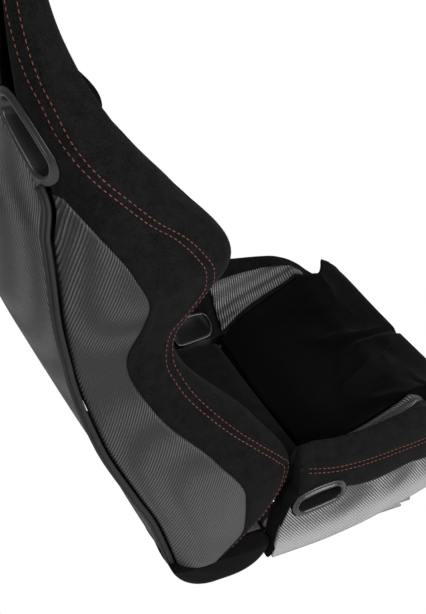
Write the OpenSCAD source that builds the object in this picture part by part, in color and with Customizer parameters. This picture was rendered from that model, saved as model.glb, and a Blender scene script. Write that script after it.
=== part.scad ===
// Reclining racing seat on a pair of floor slides.
// The seat faces -Y, +Z is up, and the origin is the centre of the floor bolt pattern.

/* [Floor slides] */
// Distance between the two rails, centre to centre
rail_pitch = 290; // [270:1:300]
// Distance between the front and rear floor bolts
bolt_pitch = 300; // [270:1:330]
// Length of the fixed lower rail
lower_rail_l = 380; // [360:1:420]
// Length of the sliding upper rail
upper_rail_l = 290; // [250:1:310]
// Width of the lower rail
rail_w = 32; // [30:1:36]
// Height of the lower rail over its feet
rail_h = 26; // [24:1:28]
// Sheet thickness of the rails
rail_t = 2.5; // [2:0.1:3]
// Height from the floor to the top of the upper rail
slide_h = 38; // [37:0.5:40]
// Clearance hole for an M8 floor bolt
floor_bolt_d = 8.5; // [8.2:0.1:9]
// Thickness of a rail foot
foot_t = 3; // [2.5:0.1:4]
// Running gap between sliding faces
slide_gap = 0.3; // [0.2:0.05:0.4]

/* [Recliner] */
// Pivot axis, distance behind the bolt pattern centre
pivot_y = 176; // [172:1:180]
// Pivot axis, height above the floor
pivot_z = 118; // [114:1:122]
// Diameter of the pivot rod
rod_d = 10; // [9:0.5:12]
// Running clearance on the radius of the rod
rod_gap = 0.06; // [0.04:0.01:0.1]
// Diameter of a recliner disc
disc_d = 64; // [56:1:70]
// Thickness of a recliner disc, both halves
disc_t = 6; // [5:0.5:7]
// Thickness of the side plates and recliner arms
plate_t = 4; // [3:0.5:4.5]
// Height of the cross beams
beam_h = 14; // [12:1:15]
// Inner face of the fixed side plates, from the centre
plate_x = 188; // [184:1:189]
// Length of the recliner lever
lever_l = 150; // [110:1:165]

/* [Seat width] */
// Width over the hip wings
hip_w = 500; // [492:1:510]
// Width over the waist
waist_w = 426; // [416:1:440]
// Width over the chest wings
chest_w = 482; // [470:1:492]
// Width over the shoulders
shoulder_w = 454; // [446:1:462]
// Width over the head section
head_w = 282; // [274:1:290]
// Width over the top edge
crown_w = 244; // [236:1:252]

/* [Backrest profile] */
// Height of the seat
seat_h = 937; // [925:1:950]
// Height of the lower edge of the hip wings
wing_z = 100; // [96:1:104]
// Height of the hip wing tips
hip_z = 223; // [218:1:228]
// Height of the waist
waist_z = 442; // [432:1:452]
// Height of the chest wing tips
chest_z = 569; // [561:1:577]
// Height of the harness slots
slot_z = 723; // [718:1:728]
// Height of the head section
head_z = 870; // [860:1:875]
// Hip wing tip, distance behind the bolt pattern centre
hip_y = 66; // [62:1:72]
// Waist edge, distance behind the bolt pattern centre
waist_y = 217; // [211:1:223]
// Chest wing tip, distance behind the bolt pattern centre
chest_y = 157; // [149:1:165]
// Front edge of the head section
head_y = 328; // [324:1:334]
// Thickness of the chest wings
wing_t = 40; // [36:1:46]
// Bulge of the back panel at mid height
back_bulge = 32; // [24:1:38]
// Thickness of the vinyl-covered panels
skin_t = 4; // [3:0.2:4.2]
// Diameter of the edge piping
piping_d = 10; // [8:0.5:11]

/* [Harness slots] */
// Length of a harness slot
slot_l = 92; // [80:1:96]
// Height of a harness slot
slot_h = 30; // [26:1:32]
// Rim width of a harness bezel
slot_rim = 12; // [10:0.5:13]
// Distance between the two harness slots
slot_pitch = 290; // [284:1:296]
// Slant of the harness slots
slot_tilt = 42; // [36:1:46]
// Length of a lap belt slot
lap_l = 66; // [60:1:70]
// Height of a lap belt slot
lap_h = 22; // [18:1:24]
// Rim width of a lap belt bezel
lap_rim = 9; // [7:0.5:10]
// Lap belt slot, distance behind the bolt pattern centre
lap_y = 30; // [27:1:33]
// Lap belt slot, height
lap_z = 167; // [164:1:170]

/* [Seat base] */
// Front face of the seat base, distance ahead of the bolt pattern centre
base_front = 256; // [252:1:260]
// Lower edge of the seat base
base_z = 72; // [69:1:75]
// Width of the seat base at the rear
base_w = 498; // [490:1:500]
// Width of the seat base at the front corners
base_front_w = 344; // [336:1:356]
// Height of the side bolsters
bolster_z = 247; // [242:1:252]
// Width of the cushion insert at its rear edge
insert_w = 320; // [312:1:324]
// Height of the cushion front lobes
lobe_z = 235; // [230:1:240]
// Height of the cushion at its rear edge
cushion_z = 136; // [132:1:142]
// Seam between the cushion insert and the rear cushion, ahead of the bolt pattern centre
insert_back = 8; // [2:1:14]
// Dip of the cushion insert between its sides
insert_dip = 20; // [14:1:24]
// Radius of the fabric boot about the pivot
boot_r = 84; // [80:1:85]

/* [Slide handle] */
// Diameter of the slide handle bar
bar_d = 12; // [10:1:14]
// Reach of the slide handle ahead of its pivot
bar_l = 112; // [106:1:120]

/* [Hidden] */
$fn = 48;
eps = 0.01;
clear = 0.5;

// --- smooth interpolation of a list of [position, value] stations ---
function seg(t, z, i = 0) = i >= len(t) - 2 || z < t[i + 1][0] ? i : seg(t, z, i + 1);
function rise(t, i) = (t[i + 1][1] - t[i][1]) / (t[i + 1][0] - t[i][0]);
function slope(t, k) =
    k <= 0 ? rise(t, 0)
    : k >= len(t) - 1 ? rise(t, len(t) - 2)
    : rise(t, k - 1) * rise(t, k) <= 0 ? 0
    : 2 * rise(t, k - 1) * rise(t, k) / (rise(t, k - 1) + rise(t, k));
function at(t, z) =
    let (q = min(max(z, t[0][0]), t[len(t) - 1][0]), i = seg(t, q),
         h = t[i + 1][0] - t[i][0], u = (q - t[i][0]) / h)
    t[i][1] * (2 * pow(u, 3) - 3 * u * u + 1) + t[i + 1][1] * (3 * u * u - 2 * pow(u, 3))
    + h * (slope(t, i) * (pow(u, 3) - 2 * u * u + u) + slope(t, i + 1) * (pow(u, 3) - u * u));
function mix(a, b, u) = a + (b - a) * u;

// --- a solid through a list of rings with the same number of points ---
module loft(rings) {
    n = len(rings[0]);
    m = len(rings);
    polyhedron(
        points = [for (r = rings) each r],
        faces = concat(
            [for (i = [0:m - 2], j = [0:n - 1])
                each [[i * n + j, i * n + (j + 1) % n, (i + 1) * n + j],
                      [i * n + (j + 1) % n, (i + 1) * n + (j + 1) % n, (i + 1) * n + j]]],
            [[for (j = [n - 1:-1:0]) j]],
            [[for (j = [0:n - 1]) (m - 1) * n + j]]));
}
// A closed band: the last ring joins the first
module hoop(rings) {
    n = len(rings[0]);
    m = len(rings);
    polyhedron(
        points = [for (r = rings) each r],
        faces = [for (i = [0:m - 1], j = [0:n - 1]) let (k = (i + 1) % m)
            each [[i * n + j, i * n + (j + 1) % n, k * n + j],
                  [i * n + (j + 1) % n, k * n + (j + 1) % n, k * n + j]]]);
}
// Both sides of the seat: s = 1 is the left-hand side (+X), s = -1 the right
module side(s) { mirror([s < 0 ? 1 : 0, 0, 0]) children(); }
// A round bar along X, and one between two points
module bar_x(x0, x1, r) { translate([x0, 0, 0]) rotate([0, 90, 0]) cylinder(r = r, h = x1 - x0); }
module bar(a, b, r) {
    v = b - a;
    translate(a) rotate([0, acos(v[2] / norm(v)), atan2(v[1], v[0])]) cylinder(r = r, h = norm(v));
}
// An outline drawn in the YZ plane, given thickness from x0 to x1
module slab(x0, x1) {
    translate([x0, 0, 0]) rotate([90, 0, 90]) linear_extrude(x1 - x0) children();
}

// --- backrest surfaces, as stations against height ---
hw = hip_w / 2;
ww = waist_w / 2;
cw = chest_w / 2;
sw = shoulder_w / 2;
kw = head_w / 2;
// Widest half width
xo_t = [[wing_z, hw - 9], [hip_z, hw], [waist_z, ww], [chest_z, cw], [chest_z + 71, cw - 1],
        [slot_z - 22, sw], [slot_z + 44, sw - 42], [slot_z + 99, kw + 13], [head_z, kw + 1],
        [seat_h, crown_w / 2]];
// Front edge of the wings
yf_t = [[wing_z, hip_y + 86], [wing_z + 63, hip_y + 23], [hip_z, hip_y], [hip_z + 87, hip_y + 51],
        [waist_z - 28, waist_y - 8], [waist_z, waist_y], [chest_z - 56, chest_y + 27],
        [chest_z, chest_y], [chest_z + 98, chest_y + 66], [slot_z + 37, head_y - 33],
        [head_z, head_y], [seat_h, head_y + 6]];
// Edge of the back panel, where the piping runs: distance back, and half width
yr_t = [[wing_z, 236], [wing_z + 86, 263], [hip_z + 15, 287], [hip_z + 116, 330],
        [waist_z + 6, 358], [chest_z - 13, 371], [chest_z + 52, 371], [chest_z + 89, 363],
        [slot_z, 376], [slot_z + 50, 383], [head_z, 385], [seat_h, 373]];
xr_t = [[wing_z, 216], [hip_z + 22, 216], [waist_z + 11, ww], [chest_z - 32, 212],
        [chest_z + 15, 206], [chest_z + 89, 180], [slot_z - 32, 146], [slot_z + 4, 117],
        [slot_z + 53, 100], [head_z, 98], [seat_h, 80]];
// Bulge of the back panel on the centre line
bulge_t = [[wing_z, 8], [hip_z, 5], [hip_z + 87, 7], [waist_z - 62, 0.42 * back_bulge],
           [waist_z, 0.7 * back_bulge], [chest_z - 49, back_bulge], [chest_z + 20, back_bulge],
           [slot_z, 0.6 * back_bulge], [head_z, 8]];
// Seam between the panel vinyl and the suede, distance back
seam_t = [[wing_z, 176], [wing_z + 46, 139], [hip_z - 11, 142], [hip_z + 52, 179],
          [hip_z + 149, 258], [waist_z + 5, 287], [waist_z + 55, 272], [chest_z - 41, 266],
          [chest_z + 14, 287], [chest_z + 65, 320], [slot_z - 42, 355]];
// Front face of the back cushion
pad_t = [[wing_z + 30, 118], [wing_z + 65, 102], [hip_z - 23, 120], [hip_z + 97, 226],
         [waist_z, 279], [chest_z, 293], [slot_z - 47, 300], [slot_z + 53, 328],
         [head_z, 344], [seat_h, 351]];
// Wing thickness, and inner edge of the bolsters
wing_t_t = [[wing_z, 40], [hip_z, 42], [waist_z, 46], [chest_z, wing_t], [slot_z - 50, 32],
            [seat_h, 28]];
arm_x = plate_x + plate_t + disc_t;
wing_x = arm_x + plate_t + 5;
pad_x = 134;
head_x = 74;
gate_z = hip_z + 18;
neck_z = slot_z - 90;
// The suede tucks in over the crown
crown_in = 26;
function tuck(z) = z < seat_h - crown_in ? 0
    : crown_in - sqrt(max(0, pow(crown_in, 2) - pow(z - seat_h + crown_in, 2)));
function xo(z) = at(xo_t, z) - tuck(z);
function yf(z) = at(yf_t, z) + 0.6 * tuck(z);
function yr(z) = at(yr_t, z) - 0.6 * tuck(z);
function xr(z) = min(at(xr_t, z), xo(z) - 3);
function bulge(z) = at(bulge_t, z);
function ys(z) = min(at(seam_t, z), yr(z) - 14);
function xi(z) = z < gate_z ? wing_x
    : z < gate_z + 12 ? mix(wing_x, pad_x + 1, (z - gate_z) / 12)
    : z < neck_z ? pad_x + 1
    : z < neck_z + 30 ? mix(pad_x + 1, head_x + 1, (z - neck_z) / 30) : head_x + 1;
function xw(z) = max(xo(z) - at(wing_t_t, z), xi(z) + 2);
function yc(z) = min(at(pad_t, z) + 0.2 * tuck(z), yb(z) - 2);
// How far the outer face has drawn in from the widest point at distance back y
edge_round = 34;
edge_power = 2.5;
function draw_in(y, z) =
    let (ym = mix(yr(z), yf(z), 0.5))
    y >= ym ? (xo(z) - xr(z)) * pow((y - ym) / (yr(z) - ym), 2.2)
    : edge_round * (1 - pow(1 - pow(min(1, (ym - y) / (ym - yf(z))), edge_power), 1 / edge_power));
function xs(y, z) = xo(z) - draw_in(y, z);
// Distance back of the outer face behind its widest point, at half width x
function y_side(x, z) =
    let (ym = mix(yr(z), yf(z), 0.5), q = (xo(z) - x) / max(1, xo(z) - xr(z)))
    ym + (yr(z) - ym) * pow(min(1, max(0, q)), 1 / 2.2);

// --- steel frame inside the backrest ---
tube_r = 11;
tube_x = plate_x - 1;
// Side tube: height, distance back and half width at each bend
tube_path = [[wing_z + 62, 236, tube_x], [hip_z + 70, 294, tube_x], [waist_z, 340, tube_x - 3],
             [neck_z - 12, 357, tube_x - 21]];
hoop_x = 60;
hoop_r = 7;
hoop_top = head_z + 12;
hoop_y = [tube_path[3][1] + 1, 374];
bead = 0.6;
function tube_y(z) = lookup(z, [for (p = tube_path) [p[0], p[1]]]);
// Rear face of the foam, clear of the frame
function yb(z) = min(yr(z) - 2, lookup(z, concat(
    [for (p = tube_path) [p[0], p[1] - tube_r - 2.5]],
    [[neck_z + 12, hoop_y[0] - hoop_r - 2.5], [hoop_top, hoop_y[1] - hoop_r - 2.5]])));

// --- harness and belt slots: a D outline with one flat long side ---
// n points round the D, w wide and h high, grown by g
function dee(w, h, g = 0) = let (r = h / 2 + g, c = w / 2 - h / 2)
    concat([for (a = [-90:30:90]) [c + r * cos(a), r * sin(a)]],
           [for (u = [0.25:0.25:0.75]) [mix(c, -c, u), r + 2 * sin(180 * u)]],
           [for (a = [90:30:270]) [-c + r * cos(a), r * sin(a)]],
           [[0, -r]]);
function turn(p, a) = [p[0] * cos(a) - p[1] * sin(a), p[0] * sin(a) + p[1] * cos(a)];
function slot_pts(g) = [for (p = dee(slot_l, slot_h, g)) turn(p, -slot_tilt)
    + [slot_pitch / 2, slot_z]];
lap_tilt = -5;
function lap_pts(g) = [for (p = dee(lap_l, lap_h, g)) turn(p, lap_tilt) + [lap_y, lap_z]];
slot_wall = 2.5;
rim_h = 4;
rim_bed = 1.2;

// --- backrest ---
skin_top = slot_z - 50;
back_z = concat([wing_z, wing_z + 6, wing_z + 22], [for (z = [hip_z - 85:28:hip_z - 20]) z],
    [hip_z, gate_z, gate_z + 12], [for (z = [gate_z + 42:34:waist_z - 20]) z],
    [waist_z, waist_z + 40], [for (z = [waist_z + 75:33:chest_z - 10]) z],
    [chest_z + 14, chest_z + 39, neck_z, neck_z + 30, skin_top - 1, skin_top + 1, slot_z - 30, slot_z,
     slot_z + 34, slot_z + 68, slot_z + 99, head_z, seat_h - crown_in, seat_h - 14, seat_h - 5, seat_h]);
recess = skin_t + 0.9;
skin_n = 5;
function has_skin(z) = z < skin_top;
// Ring of the side bolster at height z
function bolster_ring(z) =
    let (s = has_skin(z) ? recess : 0.5, y0 = yr(z) - 10, y1 = ys(z), y2 = yf(z), b = yb(z),
         f = min(y2 + 0.3 * (yr(z) - y2), yc(z) - 2))
    concat(
        [[xi(z), b], [min(xr(z) - 14, xs(y0, z) - 12), b]],
        [for (k = [0:skin_n]) let (y = mix(y0, y1, k / skin_n)) [xs(y, z) - s, y]],
        [for (k = [0:5]) let (y = mix(y1 - 0.6, y2, sin(18 * k))) [xs(y, z), y]],
        [for (a = [35, 62, 90]) [mix(xs(y2, z), xw(z), pow(sin(a), 0.9)),
            mix(y2, f, 1 - cos(a))]],
        [[xw(z) - 1, yc(z)], [mix(xw(z), xi(z), 0.5), yc(z) + 3], [xi(z), yc(z)]]);
module back_bolster() {
    difference() {
        loft([for (z = back_z) [for (p = bolster_ring(z)) [p[0], p[1], z]]]);
        translate([0, seat_h, 0]) rotate([90, 0, 0])
            linear_extrude(seat_h) polygon(slot_pts(slot_wall + clear));
    }
}
module back_bolster_r() { color("#1c1c1e") side(-1) back_bolster(); }
module back_bolster_l() {
    color("#1c1c1e") difference() {
        side(1) back_bolster();
        translate([0, pivot_y, pivot_z]) bar_x(wing_x - 1, hw + 1, rod_d / 2 + 4);
    }
}
// Panel vinyl on the outer side of the bolster
side_z = concat([wing_z + 1], [for (z = back_z) if (z > wing_z + 2 && z < skin_top - 2) z],
    [skin_top - 2]);
function side_ring(z) = let (y0 = yr(z) - 10, y1 = ys(z))
    concat([for (k = [0:skin_n]) let (y = mix(y0, y1, k / skin_n)) [xs(y, z), y, z]],
           [for (k = [skin_n:-1:0]) let (y = mix(y0, y1, k / skin_n)) [xs(y, z) - skin_t, y, z]]);
module side_panel(s) {
    color("#6a6b6e") difference() {
        side(s) loft([for (z = side_z) side_ring(z)]);
        if (s > 0) translate([0, pivot_y, pivot_z]) bar_x(wing_x - 1, hw + 1, rod_d / 2 + 4);
    }
}
// Back panel
edge_z = concat([wing_z + 4, wing_z + 40], [for (z = [hip_z - 40:44:chest_z + 40]) z],
    [chest_z + 78, slot_z - 49, slot_z - 42, slot_z - 33, slot_z, slot_z + 40, head_z - 20, head_z + 10]);
// Inner edge of a harness bezel at height z, where the panel stops short of it
bezel_r = slot_h / 2 + slot_rim + 0.4;
bezel_c = slot_l / 2 - slot_h / 2;
bezel_hi = [slot_pitch / 2 - bezel_c * cos(slot_tilt), slot_z + bezel_c * sin(slot_tilt)];
bezel_lo = [slot_pitch / 2 + bezel_c * cos(slot_tilt), slot_z - bezel_c * sin(slot_tilt)];
bezel_dz = bezel_r * cos(slot_tilt);
function round_x(c, z) = c[0] - sqrt(max(0, bezel_r * bezel_r - pow(z - c[1], 2)));
function bezel_x(z) = z > bezel_hi[1] - bezel_dz ? round_x(bezel_hi, z)
    : z < bezel_lo[1] - bezel_dz ? round_x(bezel_lo, z)
    : bezel_hi[0] - bezel_r * sin(slot_tilt) + (bezel_hi[1] - bezel_dz - z) / tan(slot_tilt);
panel_z = concat([for (z = edge_z) if (z < slot_z - 50) z],
    [for (k = [0:8]) mix(bezel_lo[1] - bezel_r, bezel_hi[1] - bezel_dz, k / 8)],
    [for (k = [1:8]) mix(bezel_hi[1] - bezel_dz, bezel_hi[1] + bezel_r, k / 8)],
    [for (z = edge_z) if (z > slot_z + 60) z], [head_z + 16, head_z + 22]);
panel_t = 3;
function panel_y(x, z) = yr(z) + bulge(z) * (1 - pow(x / xr(z), 2));
function panel_in(z) = z > head_z + 20 ? 22 : z > head_z ? 9 : 0;
function panel_ring(z) = let (w = min(xr(z) - 4.5 - panel_in(z), bezel_x(z)))
    concat([for (u = [-1:0.2:1.01]) [u * w, panel_y(u * w, z), z]],
           [for (u = [1:-0.2:-1.01]) [u * w, panel_y(u * w, z) - panel_t, z]]);
module bezel_cut() { rotate([90, 0, 0]) translate([0, 0, -seat_h]) linear_extrude(seat_h)
    polygon(slot_pts(slot_rim + 0.4)); }
module back_panel() {
    color("#5c5d60") loft([for (z = panel_z) panel_ring(z)]);
}
// Piping between the back panel and the sides
module piping(s) {
    r = piping_d / 2;
    color("#0c0c0d") side(s) difference() {
        loft([for (z = concat([wing_z + 1], edge_z))
            [for (a = [300:-60:0]) [xr(z) + 1 + r * cos(a), yr(z) - 2 + r * sin(a), z]]]);
        bezel_cut();
    }
}
// Centre cushion of the backrest, with its sewn channels
pad_lo = wing_z + 32;
function pad_w(z) = z < gate_z - 13 ? plate_x - 3
    : z < gate_z - 1 ? mix(plate_x - 3, pad_x, (z - gate_z + 13) / 12)
    : z < neck_z ? pad_x : mix(pad_x, head_x, min(1, (z - neck_z) / 30));
channels = [hip_z + 40, hip_z + 110, waist_z - 40, waist_z + 30, waist_z + 100, chest_z + 30];
function dent(z) = max([for (c = channels) max(0, 1 - abs(z - c) / 7)]);
pad_z = concat([pad_lo, pad_lo + 5, pad_lo + 22, hip_z - 50, hip_z - 20, gate_z - 13, gate_z - 1],
    [for (c = channels) each [c - 14, c, c + 14]], [neck_z, neck_z + 28]);
function pad_ring(z) =
    let (w = pad_w(z) - 0.5, y = yc(z) + (z < pad_lo + 1 ? 16 : z < pad_lo + 6 ? 6 : 0),
         c = 9 - 7 * dent(z))
    concat([for (u = [1, 0.96, 0.8, 0.4, 0, -0.4, -0.8, -0.96, -1])
               [u * w, y + 6 - (c + 6) * (1 - pow(abs(u), 6)), z]],
           [[-w, yb(z) - 1, z], [w, yb(z) - 1, z]]);
module back_cushion() { color("#141416") loft([for (z = pad_z) pad_ring(z)]); }
head_pad_z = [neck_z + 32, neck_z + 38, slot_z - 25, slot_z + 12, slot_z + 50, slot_z + 68,
    slot_z + 86, head_z, seat_h - crown_in, seat_h - 12, seat_h - 3];
function head_ring(z) =
    let (w = head_x - 0.5 - 0.5 * tuck(z), c = 10 - 7 * max(0, 1 - abs(z - slot_z - 68) / 16)
         - tuck(z) * 0.2)
    concat([for (u = [1, 0.94, 0.7, 0.35, 0, -0.35, -0.7, -0.94, -1])
               [u * w, yc(z) + 5 - (c + 5) * (1 - pow(abs(u), 4)), z]],
           [[-w, yb(z), z], [w, yb(z), z]]);
module head_cushion() { color("#1c1c1e") loft([for (z = head_pad_z) head_ring(z)]); }
// Rear bezel with its tunnel, and the front trim ring that the tunnel meets
function rear_y(p) = y_side(p[0], p[1]);
function lift(pts, k, rear) = [for (p = pts) [p[0], rear ? rear_y(p) + k : yc(p[1]) - k, p[1]]];
module harness_bezel(s) {
    color("#3a3a3d") side(s) hoop([
        lift(slot_pts(0), -0.4, false), lift(slot_pts(slot_wall), -0.4, false),
        lift(slot_pts(slot_wall), 0.4, true), lift(slot_pts(slot_rim), 0.4, true),
        lift(slot_pts(slot_rim), rim_bed, true), lift(slot_pts(slot_rim / 2), rim_h, true),
        lift(slot_pts(0), rim_h - 1, true)]);
}
module harness_trim(s) {
    color("#3a3a3d") side(s) hoop([
        lift(slot_pts(slot_wall), 0.1, false), lift(slot_pts(0), 0, false),
        lift(slot_pts(0), rim_h - 1, false), lift(slot_pts(1), rim_h, false),
        lift(slot_pts(slot_rim - 8), rim_h - 1, false), lift(slot_pts(slot_rim - 7), 0.4, false)]);
}

// --- fabric boot round the pivot ---
// Round in front, where it passes the seat base, and drawn in to the back panel behind
boot_t = 4;
boot_x = plate_x - 4;
boot_draw = 18;
cap_draw = 22;
function boot_point(a, r) = [pivot_y + r * cos(a), pivot_z + r * sin(a)];
function boot_at(a, g) = boot_point(a, boot_r - g - boot_draw * pow(sin(max(0, a - 270) * 9 / 8), 2));
function boot_arc(a0, a1, g) = [for (k = [0:24]) boot_at(mix(a0, a1, k / 24), g)];
// The end caps are drawn in further, from the underside on
function cap_at(a, g) = boot_point(a, boot_r - g + max(0, a - 270) / 19
    - cap_draw * pow(sin(min(90, max(0, a - 195) * 1.2)), 2));
module boot_centre() {
    a0 = 180 - asin((wing_z + 32 - 0.3 - pivot_z) / boot_r);
    a1 = 347;
    color("#101011") slab(-boot_x, boot_x)
        polygon(concat(boot_arc(a0, a1, 0), boot_arc(a1, a0, boot_t)));
}
cap_round = 12;
cap_x0 = wing_x + 1;
cap_x1 = hw - 10;
module boot_cap(s) {
    top = wing_z - 0.4;
    a0 = 180 + asin((pivot_z - top) / boot_r);
    a1 = 344;
    color("#101011") side(s) loft([for (k = [4:-1:-1]) let (a = max(0, k) * 22.5, g = cap_round * (1 - cos(a)))
        [for (i = [0:24]) let (p = cap_at(mix(a0, a1, i / 24), g))
            [k < 0 ? cap_x0 : cap_x1 - cap_round * (1 - sin(a)), p[0], min(top, p[1])]]]);
}

// --- seat base surfaces, as stations against distance back ---
bw = base_w / 2;
fw = base_front_w / 2;
arc_r = boot_r + 4.5;
arc_end = pivot_y - sqrt(pow(arc_r, 2) - pow(pivot_z - base_z, 2));
base_back = hip_y - 4;
lobe_y = -base_front + 66;
bx_t = [[-base_front, fw], [-base_front + 14, fw + 18], [-base_front + 43, fw + 33],
        [-base_front + 96, bw - 29], [-base_front + 151, bw - 18], [-40, bw - 7],
        [lap_y, bw - 1], [arc_end, bw]];
top_t = [[-base_front, 158], [-base_front + 14, 179], [-base_front + 30, 191],
         [-base_front + 51, 200], [lobe_y, bolster_z - 36],
         [-base_front + 83, bolster_z - 22], [-base_front + 106, bolster_z - 10],
         [-base_front + 130, bolster_z - 4], [-60, bolster_z - 2], [-20, bolster_z],
         [base_back, bolster_z + 15]];
hem_t = [[-base_front, 108], [-base_front + 20, 124], [-base_front + 56, 140],
         [-base_front + 97, 146], [-127, 153], [-76, 154], [-36, 160], [-17, 166], [lap_y, 171],
         [hip_y + 10, 178]];
in_t = [[-base_front, insert_w / 2 - 8], [-base_front + 90, insert_w / 2 + 12],
        [-100, insert_w / 2 + 12], [20, insert_w / 2 + 1], [base_back, insert_w / 2 + 1]];
shelf_z = 152;
crest_in = 12;
function arc_z(y) = pivot_z - sqrt(max(0, pow(arc_r, 2) - pow(pivot_y - y, 2)));
function bx(y) = at(bx_t, y);
function top_z(y) = y <= base_back ? at(top_t, y)
    : y < pivot_y - arc_r + 1
    ? lookup(y, [[base_back, hip_z - 32], [hip_y + 8, hip_z - 48], [hip_y + 16, hip_z - 68],
                 [hip_y + 23, hip_z - 84]])
    : max(base_z + 4, arc_z(y));
function hem_z(y) = min(at(hem_t, y), top_z(y) - 8,
    y < hip_y + 12 ? 400 : mix(176, arc_z(arc_end - 6), min(1, (y - hip_y - 12) / 30)));
// Outer half width at distance back y and height z
function base_x(y, z) = bx(y) - (z < 170 ? 15 * pow((170 - z) / 125, 2) : 4 * pow((z - 170) / 70, 2));
hem_n = 4;
// Height of the insert at its sides, and how far its middle lies below them
insert_end = -insert_back;
function seat_top(y) = at([[-base_front - 2, lobe_z - 54], [-base_front + 4, lobe_z - 29],
    [-base_front + 12, lobe_z - 16], [-base_front + 26, lobe_z - 9], [-base_front + 47, lobe_z - 4],
    [-base_front + 92, lobe_z], [-134, lobe_z - 15], [-92, lobe_z - 33], [-52, lobe_z - 51],
    [insert_end, cushion_z + 15]], y);
function seat_dip(y) = lookup(y, [[-base_front, 2], [-base_front + 16, 8], [-base_front + 64, insert_dip - 2],
    [-130, insert_dip], [-90, 14], [-48, 8], [insert_end, 3]]);
// The bolster rises from the sill, beside the insert, to its crest: share of the way across and up
rise_x = [0, 0.4, 0.75, 1];
rise_z = [0, 0.23, 0.63, 1];
function crest_x(y) = bx(y) - crest_in;
function sill_z(y) = max(shelf_z + 3, min(seat_top(min(y, insert_end)) - 2, top_z(y) - 8));
function rise_at(y, k) = let (x = at(in_t, y), z = sill_z(y))
    [mix(x, crest_x(y), rise_x[k]), mix(z, top_z(y), rise_z[k])];
function in_x(y, z) = let (u = (z - sill_z(y)) / (top_z(y) - sill_z(y)))
    mix(at(in_t, y), crest_x(y), lookup(u, [for (k = [0:3]) [rise_z[k], rise_x[k]]]));
// Inner face of the skirt below the shelf, outside the steel side plates
function skirt_x(y) = min(wing_x + 1, base_x(y, base_z) - recess - 5);
// Ring of the base bolster at distance back y
function base_ring(y) =
    let (front = y <= base_back, zt = top_z(y), low = front ? shelf_z : base_z + 2,
         xc = front ? crest_x(y) : wing_x + 14, x1 = base_x(y, zt - 12),
         zs = max(base_z + 1, min(hem_z(y), zt - 8)))
    concat(
        [[skirt_x(y), base_z]],
        [for (k = [0:hem_n]) let (z = mix(base_z, zs, k / hem_n)) [base_x(y, z) - recess, z]],
        [[base_x(y, zs + 0.6), zs + 0.6], [base_x(y, mix(zs, zt - 6, 0.5)), mix(zs, zt - 6, 0.5)]],
        [for (a = [0:30:90]) [mix(xc, x1, cos(a)), mix(zt - min(26, (zt - zs) / 2), zt, sin(a))]],
        front ? [rise_at(y, 2), rise_at(y, 1), rise_at(y, 0)]
            : [[wing_x + 5, mix(low, zt, 0.9)], [wing_x, mix(low, zt, 0.6)], [wing_x, mix(low, zt, 0.3)]],
        [[front ? at(in_t, y) : wing_x, low], [skirt_x(y) - 0.3, low - 1]]);
base_y = concat([-base_front, -base_front + 14, -base_front + 30, -base_front + 51, lobe_y,
    -base_front + 83, -base_front + 94, -base_front + 106, -base_front + 118, -base_front + 130,
     -base_front + 139, -base_front + 148],
    [for (y = [-98:10:2]) y], [20, 38, base_back, base_back + 0.2, hip_y + 8, hip_y + 16, hip_y + 21],
    [for (u = [0, 0.3, 0.65, 1]) mix(pivot_y - arc_r + 1.5, arc_end - 1, u)]);
module lap_cut(g) { slab(0, hw + 20) polygon(lap_pts(g)); }
module base_bolster(s) {
    color("#1d1d1f") side(s) difference() {
        loft([for (y = base_y) [for (p = base_ring(y)) [p[0], y, p[1]]]]);
        lap_cut(slot_wall + clear);
    }
}
module base_panel(s) {
    stations = concat([-base_front + 1], [for (y = base_y) if (y > -base_front && y < arc_end - 8) y],
        [arc_end - 8]);
    color("#707174") side(s) difference() {
        loft([for (y = stations) let (zh = min(hem_z(y), top_z(y) - 8)) concat(
            [for (k = [0:hem_n]) let (z = mix(base_z, zh, k / hem_n)) [base_x(y, z), y, z]],
            [for (k = [hem_n:-1:0]) let (z = mix(base_z, zh, k / hem_n))
                [base_x(y, z) - skin_t, y, z]])]);
        lap_cut(slot_wall + clear);
    }
}
// Bezel and tunnel of a lap belt slot, and its inner trim
function lap_lift(pts, k) = [for (p = pts) [base_x(p[0], p[1]) + k, p[0], p[1]]];
function lap_inner(pts) = [for (p = pts) [in_x(min(p[0], base_back), p[1]) - 5, p[0], p[1]]];
module lap_bezel(s) {
    color("#4a4a4d") side(s) hoop([
        lap_lift(lap_pts(0), rim_h - 1), lap_lift(lap_pts(lap_rim / 2), rim_h),
        lap_lift(lap_pts(lap_rim), rim_bed), lap_lift(lap_pts(lap_rim), 0.4),
        lap_lift(lap_pts(slot_wall), 0.4), lap_inner(lap_pts(slot_wall)),
        lap_inner(lap_pts(0))]);
}

// --- cushions ---
mat_rise = 0.165;
function mat_z(y) = 112 - mat_rise * y;
// Side of the insert, against the bolster
function insert_x(y) = at(in_t, y) - 1.5;
insert_ys = concat([-base_front - 2, -base_front + 4, -base_front + 12, -base_front + 26,
    -base_front + 47, lobe_y - 3, lobe_y - 1, lobe_y + 1],
    [for (q = base_y) if (q > lobe_y + 2 && q < insert_end - 9) q],
    [insert_end - 8, insert_end - 3, insert_end]);
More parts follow.
